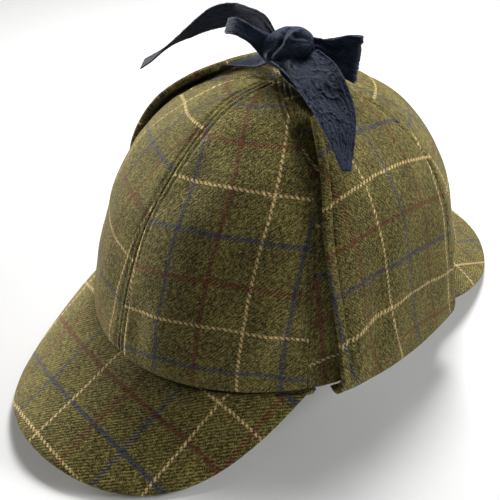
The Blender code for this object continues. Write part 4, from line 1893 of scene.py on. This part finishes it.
@dataclass
class Studio:
    """The camera at the photograph's place, a pale floor and soft lights."""

    azimuth: float = math.radians(48.12)
    elevation: float = math.radians(35.52)
    distance: float = 0.4489
    roll: float = math.radians(1.38)
    aim_right: float = -0.01596
    aim_up: float = 0.01054
    focal_pixels: float = 784.6
    frame_pixels: float = 500.0
    sensor: float = 36.0
    near_clip: float = 0.01
    floor_half: float = 4.0
    floor_shade: float = 0.74
    floor_roughness: float = 0.9
    # the middle of the hat, which the lights face
    target: tuple[float, float, float] = (0, 0, 0.06)
    backdrop: float = 0.75
    fill: float = 0.085
    # the suns: the direction, the width in degrees, the strength and the colour
    suns: dict = field(default_factory=lambda: {
        "key": ((-1.20, -0.34, 0.13), 24.0, 8.0, (1.0, 0.98, 0.94)),
        "back": ((0.85, 0.95, 0.62), 28.0, 2.5, (1.0, 1.0, 1.0)),
    })
    # the square lights: the place, the side and the power in watts
    squares: dict = field(default_factory=lambda: {
        "top": ((-0.14, 0.24, 0.58), 0.22, 5.6),
        "front": ((0.62, -0.50, 0.26), 0.35, 0.3),
    })

    def place_camera(self) -> None:
        """Sets the camera where the photograph was taken from, worked out in the rim frame."""
        a, e = self.azimuth, self.elevation
        right = Vector((math.cos(a), math.sin(a), 0))
        up = Vector((-math.sin(a) * math.sin(e), math.cos(a) * math.sin(e), math.cos(e)))
        back = right.cross(up)
        aim = right * self.aim_right + up * self.aim_up
        rolled_right = right * math.cos(self.roll) + up * math.sin(self.roll)
        rolled_up = up * math.cos(self.roll) - right * math.sin(self.roll)
        turn = Matrix((rolled_right, rolled_up, back)).transposed().to_4x4()
        camera = link_object("camera", bpy.data.cameras.new("camera"))
        camera.data.sensor_width = self.sensor
        camera.data.lens = self.focal_pixels / self.frame_pixels * self.sensor
        camera.data.clip_start = self.near_clip
        camera.matrix_world = HAT_FRAME.matrix() @ Matrix.Translation(aim + back * self.distance) @ turn
        bpy.context.scene.camera = camera

    def floor(self) -> None:
        """The pale floor."""
        mesh = bpy.data.meshes.new("floor")
        half = self.floor_half
        corners = [(-half, -half, 0), (half, -half, 0), (half, half, 0), (-half, half, 0)]
        mesh.from_pydata(corners, [], [(0, 1, 2, 3)])
        kit = ShaderKit("pale_floor")
        inputs = {"Base Color": (*[self.floor_shade] * 3, 1), "Roughness": self.floor_roughness}
        shader = kit.node("ShaderNodeBsdfPrincipled", {}, inputs)
        kit.node("ShaderNodeOutputMaterial", {}, {"Surface": shader.outputs[0]})
        mesh.materials.append(kit.material)
        floor = link_object("floor", mesh)

    def hang(self, name: str, kind: str, place: tuple, settings: dict[str, object]) -> None:
        """Hangs a soft light that faces the hat.

        Args:
            name: the light's name.
            kind: its Blender type.
            place: where it stands, or the direction that a sun comes from.
            settings: its own settings.
        """
        data = bpy.data.lights.new(name, kind)
        for key, value in settings.items():
            setattr(data, key, value)
        lamp = link_object(name, data)
        lamp.location = place
        lamp.rotation_euler = (Vector(self.target) - Vector(place)).to_track_quat("-Z", "Y").to_euler()

    def build(self) -> None:
        """Makes the camera, the floor and the lights."""
        self.place_camera()
        self.floor()
        self.sky()
        bpy.context.scene.view_settings.view_transform = "Standard"
        for name, (place, angle, energy, color) in self.suns.items():
            self.hang(name, "SUN", place, {"angle": math.radians(angle), "energy": energy, "color": color})
        for name, (place, size, energy) in self.squares.items():
            self.hang(name, "AREA", place, {"size": size, "energy": energy})

    def sky(self) -> None:
        """A plain pale backdrop that gives the hat little light of its own."""
        world = bpy.data.worlds.new("studio")
        world.use_nodes = True
        bpy.context.scene.world = world
        nodes, links = world.node_tree.nodes, world.node_tree.links
        path, mix = nodes.new("ShaderNodeLightPath"), nodes.new("ShaderNodeMixShader")
        backgrounds = nodes.new("ShaderNodeBackground"), nodes["Background"]
        for socket, (node, strength) in enumerate(zip(backgrounds, (self.fill, self.backdrop)), 1):
            node.inputs["Color"].default_value = (1.0, 1.0, 1.0, 1.0)
            node.inputs["Strength"].default_value = strength
            links.new(node.outputs[0], mix.inputs[socket])
        links.new(path.outputs["Is Camera Ray"], mix.inputs[0])
        links.new(mix.outputs[0], nodes["World Output"].inputs["Surface"])


def main() -> None:
    """Builds the hat and its studio in order."""
    logging.basicConfig(level=logging.INFO, format="%(name)s: %(message)s")
    Studio().build()
    wardrobe = Wardrobe()
    crown = Crown()
    crown.build(wardrobe)
    _, front, side, rear = crown.sections[0]
    Peak(
        "front_peak", -1, end_angle=62.8, reach=0.0600, slope=25.1, camber=0.0340, side_power=2.0,
        tip_power=2.5, half_width=side, half_length=front, check=FRONT_CHECK, crown=crown,
    ).build(wardrobe)
    Peak(
        "rear_peak", 1, end_angle=62.5, reach=0.0502, slope=18.0, camber=0.0147, side_power=2.2,
        tip_power=2.1, half_width=side, half_length=rear, check=REAR_CHECK, crown=crown,
    ).build(wardrobe)
    surface = CrownSurface(crown)
    EarFlap(crown, surface).build(wardrobe)
    Bow(crown, surface).build(wardrobe)


if __name__ == "__main__":
    main()
